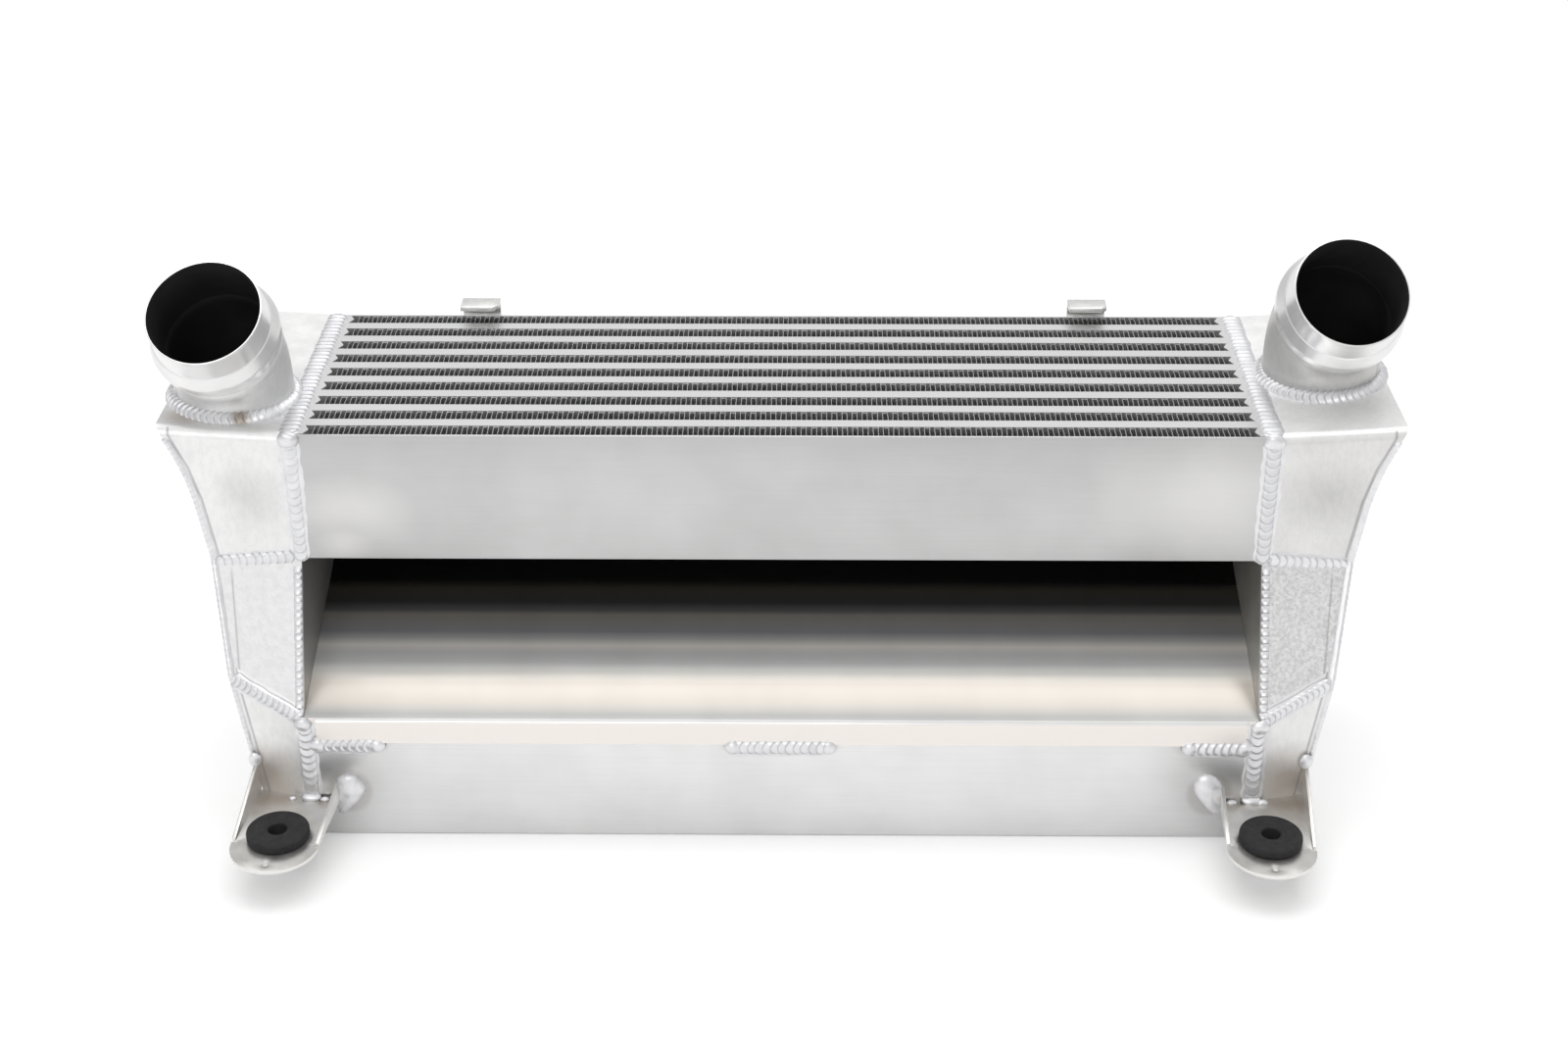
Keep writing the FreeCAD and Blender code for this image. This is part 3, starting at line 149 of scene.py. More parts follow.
def mix_node(tree, blend, amount, first, second):
    """Two colours mixed; the amount and either colour may be a value or a socket."""
    node = tree.nodes.new("ShaderNodeMix")
    node.data_type = "RGBA"
    node.blend_type = blend
    sockets = [socket for socket in node.inputs if socket.type == "RGBA"]
    for socket, value in ((node.inputs["Factor"], amount), (sockets[0], first), (sockets[1], second)):
        if isinstance(value, bpy.types.NodeSocket):
            tree.links.new(value, socket)
        else:
            socket.default_value = rgba(value) if socket.type == "RGBA" else value
    return next(socket for socket in node.outputs if socket.type == "RGBA")


def math_node(tree, operation, *values, clamp=False):
    """One arithmetic step over numbers or sockets."""
    node = tree.nodes.new("ShaderNodeMath")
    node.operation = operation
    node.use_clamp = clamp
    for socket, value in zip(node.inputs, values):
        if isinstance(value, bpy.types.NodeSocket):
            tree.links.new(value, socket)
        else:
            socket.default_value = value
    return node.outputs["Value"]


def bump_node(tree, shader, height, strength, distance):
    """Bump from height, distance in millimetres; several calls add up."""
    node = tree.nodes.new("ShaderNodeBump")
    node.inputs["Strength"].default_value = strength
    node.inputs["Distance"].default_value = distance / 1000
    tree.links.new(height, node.inputs["Height"])
    if shader.inputs["Normal"].links:
        tree.links.new(shader.inputs["Normal"].links[0].from_socket, node.inputs["Normal"])
    tree.links.new(node.outputs["Normal"], shader.inputs["Normal"])


def range_node(tree, value, low, high, interpolation="LINEAR"):
    """0 where value is at low or beyond it, 1 where it is at high."""
    node = tree.nodes.new("ShaderNodeMapRange")
    node.interpolation_type = interpolation
    node.inputs["From Min"].default_value = low
    node.inputs["From Max"].default_value = high
    tree.links.new(value, node.inputs["Value"])
    return node.outputs["Result"]


def spot_mask(tree, centre, radii, soft=0.5):
    """1 inside an ellipsoid of the given centre and radii, falling to 0 outside it, in millimetres."""
    coords = tree.nodes.new("ShaderNodeTexCoord")
    mapping = tree.nodes.new("ShaderNodeMapping")
    mapping.inputs["Location"].default_value = [-at / radius for at, radius in zip(centre, radii)]
    mapping.inputs["Scale"].default_value = [1000 / radius for radius in radii]
    tree.links.new(coords.outputs["Object"], mapping.inputs["Vector"])
    length = tree.nodes.new("ShaderNodeVectorMath")
    length.operation = "LENGTH"
    tree.links.new(mapping.outputs["Vector"], length.inputs[0])
    return range_node(tree, length.outputs["Value"], 1 + soft, 1 - soft)


def axis_value(tree, axis):
    """One object coordinate in metres."""
    coords = tree.nodes.new("ShaderNodeTexCoord")
    split = tree.nodes.new("ShaderNodeSeparateXYZ")
    tree.links.new(coords.outputs["Object"], split.inputs["Vector"])
    return split.outputs[axis]


def step_mask(tree, axis, start, end, interpolation="LINEAR"):
    """0 at start and 1 at end along an axis, in millimetres."""
    return range_node(tree, axis_value(tree, axis), start / 1000, end / 1000, interpolation)


def facing_mask(tree, low, high, axis="Z"):
    """0 where the surface's share along an axis is under low, 1 above high."""
    geometry = tree.nodes.new("ShaderNodeNewGeometry")
    split = tree.nodes.new("ShaderNodeSeparateXYZ")
    tree.links.new(geometry.outputs["Normal"], split.inputs["Vector"])
    return range_node(tree, split.outputs[axis], low, high)


def hollow_mask(tree, low, high):
    """0 in the grooves of a mesh, 1 on its flat and raised parts."""
    geometry = tree.nodes.new("ShaderNodeNewGeometry")
    return range_node(tree, geometry.outputs["Pointiness"], low, high)


def combined(tree, operation, masks):
    """Masks joined one after another by an operation."""
    total = masks[0]
    for mask in masks[1:]:
        total = math_node(tree, operation, total, mask)
    return total


def product(tree, *masks):
    """High only where every mask is high."""
    return combined(tree, "MULTIPLY", masks)


def join_masks(tree, masks):
    """High where any of the masks is high."""
    return combined(tree, "MAXIMUM", masks)


def flare_reach(height):
    """Distance of the tank's outer wall from the core's end, straight up to its waist and then an arc."""
    waist = Vector((WAIST_REACH, WAIST_HEIGHT))
    tip = Vector((TIP_REACH, UPPER_TOP + TIP_RISE))
    if height <= waist.y:
        return FOOT_REACH + WALL_RATE * height
    along = Vector((WALL_RATE, 1)).normalized()
    aside = Vector((along.y, -along.x))
    span = tip - waist
    radius = span.length_squared / (2 * span.dot(aside))
    centre = waist + aside * radius
    drop = height - centre.y
    return centre.x - math.sqrt(max(0, radius * radius - drop * drop))


def edge_line(tree, inward, half_width, lean=0):
    """1 on a line down the tank's front, inward of its outer corner, and by lean more at the duct's top."""
    # A ramp holds values up to 1, so the reach goes through it in tenths of a metre
    stops = [(step / 12, flare_reach(UPPER_TOP * step / 12) / 100) for step in range(13)]
    reach = ramp_node(tree, step_mask(tree, "Z", 0, UPPER_TOP), stops)
    edge = math_node(tree, "ADD", math_node(tree, "MULTIPLY", reach, 0.1), (CORE_END - inward) / 1000)
    leaning = math_node(tree, "MULTIPLY", step_mask(tree, "Z", LOWER_TOP + 20, UPPER_BOTTOM - 6), lean / 1000)
    edge = math_node(tree, "SUBTRACT", edge, leaning)
    offset = math_node(tree, "SUBTRACT", math_node(tree, "ABSOLUTE", axis_value(tree, "X")), edge)
    apart = math_node(tree, "DIVIDE", math_node(tree, "ABSOLUTE", offset), half_width / 1000)
    line = math_node(tree, "SUBTRACT", 1, apart, clamp=True)
    return product(tree, line, facing_mask(tree, -0.4, -0.6, "Y"))


def tank_material():
    material, tree, shader = new_material("tank_sheet", 0.7, 0.5)
    cloud = noise_node(tree, 0.03, 3, 0.6)
    colour = ramp_node(tree, cloud, ((0.3, (0.88, 0.88, 0.875)), (0.7, (0.97, 0.97, 0.965))))
    fine = noise_node(tree, 1.2, 4, 0.7)
    colour = mix_node(tree, "MULTIPLY", 0.2, colour, ramp_node(tree, fine, ((0.35, 0.84), (0.65, 1))))
    scuffs = noise_node(tree, 0.35, 4, 0.75, (1, 1, 0.4))
    colour = mix_node(tree, "MULTIPLY", 0.22, colour, ramp_node(tree, scuffs, ((0.42, 0.8), (0.55, 1))))
    upright = facing_mask(tree, 0.9, 0.7)
    right_side = product(tree, step_mask(tree, "X", -100, CORE_END), step_mask(tree, "Z", 90, 130), upright)
    colour = mix_node(tree, "MULTIPLY", right_side, colour, (0.88, 0.875, 0.865))
    # Painted shade on the left tank's top, towards its front
    left_top_shade = product(
        tree, step_mask(tree, "X", 0, -200), step_mask(tree, "Y", 70, 30), step_mask(tree, "Z", 200, 220),
        facing_mask(tree, 0.7, 0.9)
    )
    colour = mix_node(tree, "MULTIPLY", left_top_shade, colour, 0.80)
    neck = step_mask(tree, "Z", UPPER_TOP + 5, UPPER_TOP + 8)
    colour = mix_node(tree, "MULTIPLY", neck, colour, 0.84)
    # Painted shade on the tanks' inner walls below the duct's top, darker on the left
    below_duct_top = step_mask(tree, "Z", UPPER_BOTTOM + 1, UPPER_BOTTOM - 1)
    for side, tone in ((-1, (0.43, 0.42, 0.41)), (1, (0.60, 0.585, 0.55))):
        within = step_mask(tree, "X", (CORE_END + 2.5) * side, (CORE_END + 1.5) * side)
        duct_wall_shade = product(tree, within, step_mask(tree, "X", 0, side), below_duct_top)
        colour = mix_node(tree, "MULTIPLY", duct_wall_shade, colour, tone)
    smudge = join_masks(tree, [
        spot_mask(tree, (292, UPPER_FRONT, 196), (16, 6, 13), 0.9),
        spot_mask(tree, (-283, UPPER_FRONT, 196), (12, 6, 12), 0.9),
    ])
    colour = mix_node(tree, "MULTIPLY", smudge, colour, 0.80)
    colour = mix_node(tree, "MULTIPLY", edge_line(tree, 4.2, 1.1), colour, (0.55, 0.55, 0.56))
    tint = join_masks(tree, [
        spot_mask(tree, (-287, -58, 36), (18, 16, 15), 0.7),
        spot_mask(tree, (280, -58, 36), (20, 16, 15), 0.7),
        spot_mask(tree, (-318, -12, 232), (9, 7, 6), 0.6),
    ])
    colour = mix_node(tree, "MIX", math_node(tree, "MULTIPLY", tint, 0.6), colour, (0.45, 0.37, 0.30))
    # The tank's inside behind the neck openings is painted near black: painted shade
    cavity_shade = product(
        tree, facing_mask(tree, -0.3, -0.6, "Y"), step_mask(tree, "Y", 25, 30),
        step_mask(tree, "Z", UPPER_TOP + 2, UPPER_TOP)
    )
    colour = mix_node(tree, "MIX", cavity_shade, colour, (0.03, 0.03, 0.032))
    rough = ramp_node(tree, noise_node(tree, 0.08, 4, 0.6), ((0.3, 0.38), (0.7, 0.54)))
    paint(tree, shader, colour, rough)
    bump_node(tree, shader, noise_node(tree, 0.9, 3, 0.6), 0.25, 0.12)
    bump_node(tree, shader, noise_node(tree, 0.06, 2, 0.5), 0.3, 0.5)
    return material


def core_material():
    material, tree, shader = new_material("core_plate", 0.9, 0.36)
    cloud = noise_node(tree, 0.016, 3, 0.55)
    colour = ramp_node(tree, cloud, ((0.3, 0.79), (0.7, 0.87)))
    streaks = noise_node(tree, 1, 3, 0.6, (0.02, 0.9, 0.9))
    colour = mix_node(tree, "MULTIPLY", 0.2, colour, ramp_node(tree, streaks, ((0.35, 0.88), (0.65, 1))))
    upper_front = product(
        tree, step_mask(tree, "Y", UPPER_FRONT + 2, UPPER_FRONT + 1.4),
        step_mask(tree, "Z", UPPER_BOTTOM - 6, UPPER_BOTTOM - 1)
    )
    colour = mix_node(tree, "MULTIPLY", upper_front, colour, 0.73)
    glare = join_masks(tree, [
        spot_mask(tree, (-232, UPPER_FRONT, 187), (22, 6, 13), 0.7),
        spot_mask(tree, (-236, UPPER_FRONT, 166), (10, 6, 8), 0.7),
        spot_mask(tree, (228, UPPER_FRONT, 196), (40, 6, 26), 0.8),
    ])
    colour = mix_node(tree, "MIX", math_node(tree, "MULTIPLY", glare, 0.5), colour, (0.86, 0.85, 0.83))
    heat = join_masks(tree, [
        spot_mask(tree, (-239, LOWER_FRONT - 2, 29), (13, 6, 15), 0.1),
        spot_mask(tree, (237, LOWER_FRONT - 2, 29), (13, 6, 15), 0.1),
        spot_mask(tree, (-235, LOWER_FRONT - 2, LIP_HEIGHT), (21, 6, 7), 0.15),
        spot_mask(tree, (235, LOWER_FRONT - 2, LIP_HEIGHT), (21, 6, 7), 0.15),
        spot_mask(tree, (0, LOWER_FRONT - 2, LIP_HEIGHT), (33.5, 6, 7), 0.1),
    ])
    colour = mix_node(tree, "MIX", math_node(tree, "MULTIPLY", heat, 0.3), colour, (0.45, 0.41, 0.36))
    paint(tree, shader, colour, ramp_node(tree, cloud, ((0.3, 0.42), (0.7, 0.3))))
    bump_node(tree, shader, streaks, 0.06, 0.04)
    bump_node(tree, shader, noise_node(tree, 0.02, 2, 0.5), 0.25, 0.8)
    return material


def fin_material():
    material, tree, shader = new_material("cooling_fin", 0.9, 0.4)
    spread = noise_node(tree, 0.9, 3, 0.6)
    colour = ramp_node(tree, spread, ((0.3, (0.34, 0.34, 0.345)), (0.7, (0.66, 0.66, 0.665))))
    paint(tree, shader, colour)
    return material


def cast_material():
    material, tree, shader = new_material("rough_panel", 0.75, 0.5)
    grain = noise_node(tree, 0.5, 4, 0.7)
    pits = noise_node(tree, 0.25, 3, 0.6, (1, 1, 0.7))
    colour = ramp_node(tree, grain, ((0.38, 0.64), (0.6, 0.84)))
    colour = mix_node(tree, "MIX", step_mask(tree, "X", 150, 0), colour, 0.80)
    colour = mix_node(tree, "MULTIPLY", 0.5, colour, ramp_node(tree, pits, ((0.35, 0.86), (0.6, 1))))
    seam = product(
        tree, edge_line(tree, 5.4, 0.9, 4.2), step_mask(tree, "Z", LOWER_TOP + 7, LOWER_TOP + 17),
        step_mask(tree, "Z", UPPER_BOTTOM - 4, UPPER_BOTTOM - 10)
    )
    colour = mix_node(tree, "MULTIPLY", seam, colour, 0.66)
    paint(tree, shader, colour)
    rightward = step_mask(tree, "X", -100, CORE_END)
    depth = math_node(tree, "ADD", math_node(tree, "MULTIPLY", rightward, 0.8), 0.5)
    uneven = math_node(tree, "MULTIPLY", grain, depth)
    bump_node(tree, shader, uneven, 0.7, 0.6)
    bump_node(tree, shader, pits, 0.4, 0.5)
    return material


def turned_material():
    material, tree, shader = new_material("turned_adapter", 0.92, 0.28)
    smear = noise_node(tree, 0.03, 2, 0.5)
    colour = ramp_node(tree, smear, ((0.3, 0.80), (0.7, (0.90, 0.90, 0.895))))
    paint(tree, shader, colour)
    return material


# Bands of painted reflection on the deflector's polished sheet, darkening to painted shade at the back: depth
# in mm and tone, from its lip back
PAINTED_SHEEN_AND_SHADE = (
    (-66, 1), (-64.6, (0.98, 0.98, 0.97)), (-63, (0.52, 0.52, 0.51)), (-60, (0.43, 0.43, 0.42)),
    (-52, (0.60, 0.56, 0.51)), (-39, (0.77, 0.71, 0.65)), (-34, (1, 0.97, 0.90)), (-29, (1, 1, 0.97)),
    (-25, 0.78), (-18, 0.77), (-13, (1, 0.96, 0.89)), (-8, (0.58, 0.58, 0.57)),
    (-3, (0.34, 0.34, 0.36)), (5, (0.37, 0.355, 0.33)), (9, (0.36, 0.335, 0.30)), (12, 0.16),
    (18, 0.055), (27, (0.065, 0.06, 0.05)), (34, 0.007), (60, 0.01),
)


def deflector_material():
    material, tree, shader = new_material("deflector_sheet", 0.4, 0.22)
    low = PAINTED_SHEEN_AND_SHADE[0][0]
    span = PAINTED_SHEEN_AND_SHADE[-1][0] - low
    depth = step_mask(tree, "Y", low, low + span)
    colour = ramp_node(tree, depth, [((at - low) / span, shade) for at, shade in PAINTED_SHEEN_AND_SHADE])
    bands = noise_node(tree, 0.05, 3, 0.55, (0.03, 1, 1))
    colour = mix_node(tree, "MULTIPLY", 0.5, colour, ramp_node(tree, bands, ((0.35, 0.88), (0.65, 1))))
    stains = noise_node(tree, 0.03, 2, 0.5, (1, 0.35, 1))
    colour = mix_node(tree, "MULTIPLY", 0.5, colour, ramp_node(tree, stains, ((0.35, 0.9), (0.65, 1))))
    # The painted reflection and shade lie on the upward faces only; the other faces keep the sheet's plain
    # warm tone
    colour = mix_node(tree, "MIX", facing_mask(tree, 0.1, 0.5), (0.92, 0.87, 0.83), colour)
    paint(tree, shader, colour, ramp_node(tree, bands, ((0.3, 0.18), (0.7, 0.26))))
    bump_node(tree, shader, step_mask(tree, "Y", -74, -16, "SMOOTHERSTEP"), 1, 5.5)
    bump_node(tree, shader, noise_node(tree, 1, 3, 0.6, (0.03, 1, 1)), 0.08, 0.03)
    bump_node(tree, shader, noise_node(tree, 0.02, 2, 0.5, (0.15, 1, 1)), 0.3, 1)
    return material


def bracket_material():
    material, tree, shader = new_material("bracket_sheet", 0.9, 0.32)
    smear = noise_node(tree, 0.06, 4, 0.6)
    colour = ramp_node(tree, smear, ((0.3, (0.56, 0.55, 0.525)), (0.7, (0.72, 0.71, 0.69))))
    tint = join_masks(tree, [
        spot_mask(tree, (-252, -66, 24), (6, 5, 4), 0.6),
        spot_mask(tree, (250, -66, 24), (7, 5, 4), 0.6),
        spot_mask(tree, (-280, -64, 26), (12, 6, 8), 0.7),
        spot_mask(tree, (282, -64, 26), (12, 6, 8), 0.7),
    ])
    colour = mix_node(tree, "MIX", math_node(tree, "MULTIPLY", tint, 0.5), colour, (0.36, 0.29, 0.22))
    colour = mix_node(tree, "MIX", facing_mask(tree, 0.35, 0.8), (0.86, 0.85, 0.83), colour)
    paint(tree, shader, colour, ramp_node(tree, smear, ((0.3, 0.27), (0.7, 0.42))))
    bump_node(tree, shader, noise_node(tree, 0.5, 4, 0.6), 0.12, 0.1)
    return material


def hook_material():
    material, tree, shader = new_material("hanger_hook", 0.9, 0.36)
    smear = noise_node(tree, 0.2, 3, 0.6)
    colour = ramp_node(tree, smear, ((0.3, (0.74, 0.74, 0.72)), (0.7, (0.88, 0.88, 0.86))))
    paint(tree, shader, colour)
    return material


def weld_material():
    material, tree, shader = new_material("weld_bead", 0.85, 0.4)
    cloud = noise_node(tree, 0.15, 3, 0.6)
    colour = ramp_node(tree, cloud, ((0.3, (0.78, 0.78, 0.80)), (0.7, (0.90, 0.90, 0.91))))
    # The grooves of the beads are painted darker: painted shade
    colour = mix_node(tree, "MIX", hollow_mask(tree, 0.40, 0.49), (0.28, 0.28, 0.30), colour)
    # Upward faces of the top beads are painted darker, as painted shade, and are also made rougher
    upward = product(tree, facing_mask(tree, 0.75, 0.95), step_mask(tree, "Z", 215, 225))
    colour = mix_node(tree, "MULTIPLY", upward, colour, (0.76, 0.76, 0.77))
    rough = math_node(tree, "ADD", math_node(tree, "MULTIPLY", upward, 0.2), 0.4)
    burn = join_masks(tree, [
        spot_mask(tree, (-286.5, -15.5, 236), (4.5, 5, 5), 0.5),
        spot_mask(tree, (322, 70, 236), (3, 4, 4), 0.5),
    ])
    colour = mix_node(tree, "MIX", math_node(tree, "MULTIPLY", burn, 0.75), colour, (0.26, 0.19, 0.13))
    paint(tree, shader, colour, rough)
    bump_node(tree, shader, noise_node(tree, 1.2, 3, 0.6), 0.15, 0.06)
    return material


def rubber_material():
    material, tree, shader = new_material("black_rubber", 0, 0.7)
    shader.inputs["Specular IOR Level"].default_value = 0.3
    dust = noise_node(tree, 0.25, 4, 0.7)
    colour = ramp_node(tree, dust, ((0.35, (0.016, 0.016, 0.017)), (0.7, (0.030, 0.030, 0.032))))
    paint(tree, shader, colour)
    bump_node(tree, shader, noise_node(tree, 1.5, 3, 0.6), 0.15, 0.05)
    return material


# Insides of the tubes and adapters are painted near black: painted shade where little light reaches
def inside_shade_material():
    material, tree, shader = new_material("tube_inside_shade", 0, 1)
    shader.inputs["Specular IOR Level"].default_value = 0
    dark = noise_node(tree, 0.05, 2, 0.5)
    paint(tree, shader, ramp_node(tree, dark, ((0.3, 0.024), (0.7, 0.034))))
    return material


MATERIALS = {
    "tank": tank_material(),
    "core": core_material(),
    "fins": fin_material(),
    "cast": cast_material(),
    "machined": turned_material(),
    "deflector": deflector_material(),
    "bracket": bracket_material(),
    "hook": hook_material(),
    "weld": weld_material(),
    "rubber": rubber_material(),
}
INSIDE = inside_shade_material()

slot_of_node = {item["node"]: item["material_slot"] for item in frame["record"]["subparts"]}
for node_name, node_object in frame["nodes"].items():
    node_object.data.materials.clear()
    node_object.data.materials.append(MATERIALS[slot_of_node[node_name]])


# Pieces built from points in millimetres


def add_object(name, data):
    """A new object, put in the scene."""
    made = bpy.data.objects.new(name, data)
    bpy.context.scene.collection.objects.link(made)
    return made


def piece(name, points, faces, slot_name, nodes, smooth=True, inside=()):
    """A mesh piece that rides on the part and stands for some nodes; inside lists its faces painted near
    black as painted shade.
    """
    mesh = bpy.data.meshes.new(name)
    mesh.from_pydata([tuple(float(value) / 1000 for value in spot) for spot in points], [], faces)
    mesh.materials.append(MATERIALS[slot_name])
    if len(inside):
        mesh.materials.append(INSIDE)
        for index in inside:
            mesh.polygons[index].material_index = 1
    if smooth:
        mesh.shade_smooth()
    mesh.update()
    made = add_object(name, mesh)
    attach(made, "root")
    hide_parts(*nodes)


def grid_faces(rows, columns, start=0, close_rows=False, close_columns=False, flip=False):
    """Quads over points laid out row after row."""
    faces = []
    for row in range(rows if close_rows else rows - 1):
        here = start + row * columns
        below = start + (row + 1) % rows * columns
        for column in range(columns if close_columns else columns - 1):
            beside = (column + 1) % columns
            quad = (here + column, here + beside, below + beside, below + column)
            faces.append(quad[::-1] if flip else quad)
    return faces


def fine_fins(name, front, bottom):
    """Strips folded square between the parting sheets, their walls a little uneven."""
    points = []
    faces = []
    walls = int(2 * (CORE_END - END_BAR) / FIN_SPACING)
    end_gap = 0.8
    side_gap = 0.2
    half_gauge = 0.17
    fold = 3
    sway = 0.32
    for row in range(FIN_LAYERS):
        near = front + SIDE_PLATE + side_gap + row * LAYER_PITCH
        far = near + FIN_LAYER - 2 * side_gap
        line = []
        for wall in range(walls):
            across = (wall - (walls - 1) / 2) * FIN_SPACING
            depths = (near, near + fold, far - fold, far)
            for step, depth in enumerate(depths if wall % 2 else depths[::-1]):
                seed = Vector((wall * 0.71, row * 7.3 + step * 1.9, bottom + 0.37))
                line.append(Vector((across + sway * noise.noise(seed), depth)))
        sides = ([], [])
        for index, spot in enumerate(line):
            before = (spot - line[index - 1]).normalized() if index else None
            after = (line[index + 1] - spot).normalized() if index < len(line) - 1 else before
            before = before or after
            first = Vector((-before.y, before.x))
            second = Vector((-after.y, after.x))
            shift = (first + second) * (half_gauge / max(0.5, 1 + first.dot(second)))
            sides[0].append(spot - shift)
            sides[1].append(spot + shift)
        start = len(points)
        count = len(line)
        for level in (bottom + end_gap, bottom + CORE_HEIGHT - end_gap):
            for offset_line in sides:
                for spot in offset_line:
                    points.append((spot.x, spot.y, level))
        for index in range(count - 1):
            low_left, low_right, high_left, high_right = (start + part * count + index for part in range(4))
            faces += [
                (low_left, low_left + 1, high_left + 1, high_left),
                (low_right + 1, low_right, high_right, high_right + 1),
                (high_left, high_left + 1, high_right + 1, high_right),
                (low_left + 1, low_left, low_right, low_right + 1),
            ]
    piece(f"{name}_fine_fins", points, faces, "fins", [f"{name}_cooling_fins"], smooth=False)


def turn_profile(centre, axis, profile, segments):
    """Rings of points around an axis, one per (radius, along)."""
    axis = Vector(axis).normalized()
    first = axis.orthogonal().normalized()
    second = axis.cross(first)
    points = []
    for radius, along in profile:
        for index in range(segments):
            angle = 2 * math.pi * index / segments
            ring = first * math.cos(angle) + second * math.sin(angle)
            points.append(Vector(centre) + axis * along + ring * radius)
    return points


def rounded(profile, size, steps=3):
    """A closed profile with rounded corners and points beside them; a third value is a corner's own size."""
    edge_share = 2.8
    support = 1.35
    result = []
    count = len(profile)
    for index in range(count):
        here = Vector(profile[index][:2])
        before = Vector(profile[index - 1][:2]) - here
        after = Vector(profile[(index + 1) % count][:2]) - here
        wish = profile[index][2] if len(profile[index]) > 2 else size
        if wish == 0:
            result.append(tuple(here))
            continue
        reach = min(wish, before.length / edge_share, after.length / edge_share)
        start = here + before.normalized() * reach
        end = here + after.normalized() * reach
        result.append(tuple(here + before.normalized() * reach * support))
        for step in range(steps + 1):
            share = step / steps
            result.append(tuple(start * (1 - share) ** 2 + here * 2 * share * (1 - share) + end * share ** 2))
        result.append(tuple(here + after.normalized() * reach * support))
    return result


def roof_height(across):
    """Height of the tank's sloping top at a distance from the part's middle."""
    return UPPER_TOP + (abs(across) - CORE_END) * RISE_RATE


def neck_axis(side_name, side):
    """Points along a neck's axis with the direction at each, and the direction across its bend."""
    data = NECKS[side_name]
    toe = math.radians(TOE_OUT * side)
    forward = Vector((math.sin(toe), -math.cos(toe), 0))
    across = Vector((math.cos(toe), math.sin(toe), 0))
    foot = Vector((data["x"], data["y"], 0))
    tilt = math.radians(data["tilt"])
    rise = UPPER_TOP + data["rise"]
    axis = [(foot + UPWARD * NECK_FOOT, UPWARD), (foot + UPWARD * rise, UPWARD)]
    steps = 16
    for step in range(1, steps + 1):
        angle = tilt * step / steps
        spot = foot + UPWARD * (rise + NECK_BEND * math.sin(angle))
        spot += forward * NECK_BEND * (1 - math.cos(angle))
        axis.append((spot, UPWARD * math.cos(angle) + forward * math.sin(angle)))
    end, heading = axis[-1]
    axis.append((end + heading * data["straight"], heading))
    return axis, across


def neck_tube(side_name, side):
    """Bent tube, outside and inside."""
    axis, across = neck_axis(side_name, side)
    segments = 72
    points = []
    for radius in (NECK_RADIUS, NECK_BORE):
        for number, (spot, heading) in enumerate(axis):
            other = heading.cross(across).normalized()
            for index in range(segments):
                angle = 2 * math.pi * index / segments
                place = spot + across * math.cos(angle) * radius + other * math.sin(angle) * radius
                if number == 0:
                    place.z = roof_height(place.x)
                points.append(place)
    inner = len(axis) * segments
    outside = grid_faces(len(axis), segments, close_columns=True)
    lining = grid_faces(len(axis), segments, inner, close_columns=True, flip=True)
    rim = []
    for row in (0, inner - segments):
        for index in range(segments):
            beside = (index + 1) % segments
            quad = (row + index, row + beside, inner + row + beside, inner + row + index)
            rim.append(quad if row else quad[::-1])
    faces = outside + rim + lining
    inside = range(len(outside) + len(rim), len(faces))
    piece(f"{side_name}_neck_tube", points, faces, "tank", [f"{side_name}_neck"], inside=inside)


def turned_adapter(side_name, side):
    """Hose adapter with rounded edges, and a lining that reaches into the neck."""
    end, heading = neck_axis(side_name, side)[0][-1]
    lining = NECK_BORE - 0.1
    corners = [
        (NECK_RADIUS, 0, 0), (33.6, 1.2), (33.6, 2.4), (32.6, 2.45), (32.6, 4.6), (34.9, 4.65),
        (34.9, 9, 0.6), (32.5, 16.4, 0.3), (32, 16.9, 0.2), (30.9, 28.8), (30.9, 31, 0.4),
        (MOUTH_BORE, 31, 0.3), (lining, 6, 0), (lining, -1.9, 0), (lining, -2, 0),
    ]
    profile = rounded(corners, 0.35)
    segments = 120
    points = turn_profile(end, heading, profile, segments)
    rows = len(profile)
    faces = grid_faces(rows, segments, close_rows=True, close_columns=True)
    inside = []
    for index in range(len(faces)):
        row = index // segments
        if max(profile[row][0], profile[(row + 1) % rows][0]) < NECK_BORE + 0.05:
            inside.append(index)
    nodes = [f"{side_name}_hose_adapter"]
    piece(f"{side_name}_turned_adapter", points, faces, "machined", nodes, inside=inside)


def bracket_spot(side_name, across, behind):
    """A point of a bracket's own frame at ground level: across from its middle, behind its root."""
    data = BRACKETS[side_name]
    angle = math.radians(data["turn"])
    along_x = across * math.cos(angle) - behind * math.sin(angle)
    along_y = across * math.sin(angle) + behind * math.cos(angle)
    return Vector((data["x"] + along_x, LOWER_FRONT + along_y, 0))


def rubber_bush(side_name):
    """Rubber mount with soft edges and a raised collar around its bore."""
    profile = [
        (5.1, 16.4), (17, 16.4), (17, 21.8), (12, 21.9), (12, 24.1), (17, 24.2), (17, 29.3),
        (9.6, 29.5), (8.2, 29.65), (5.1, 29.3),
    ]
    profile = rounded(profile, 1.6, 5)
    centre = bracket_spot(side_name, 0, BUSH_SETBACK - NOSE_REACH)
    segments = 72
    points = turn_profile(centre, UPWARD, profile, segments)
    faces = grid_faces(len(profile), segments, close_rows=True, close_columns=True)
    piece(f"{side_name}_rubber_bush", points, faces, "rubber", [f"{side_name}_rubber_mount"])


FLAT_ANGLE = math.radians(3)
SHARP_ANGLE = math.radians(35)
SHADE_ANGLE = math.radians(24)


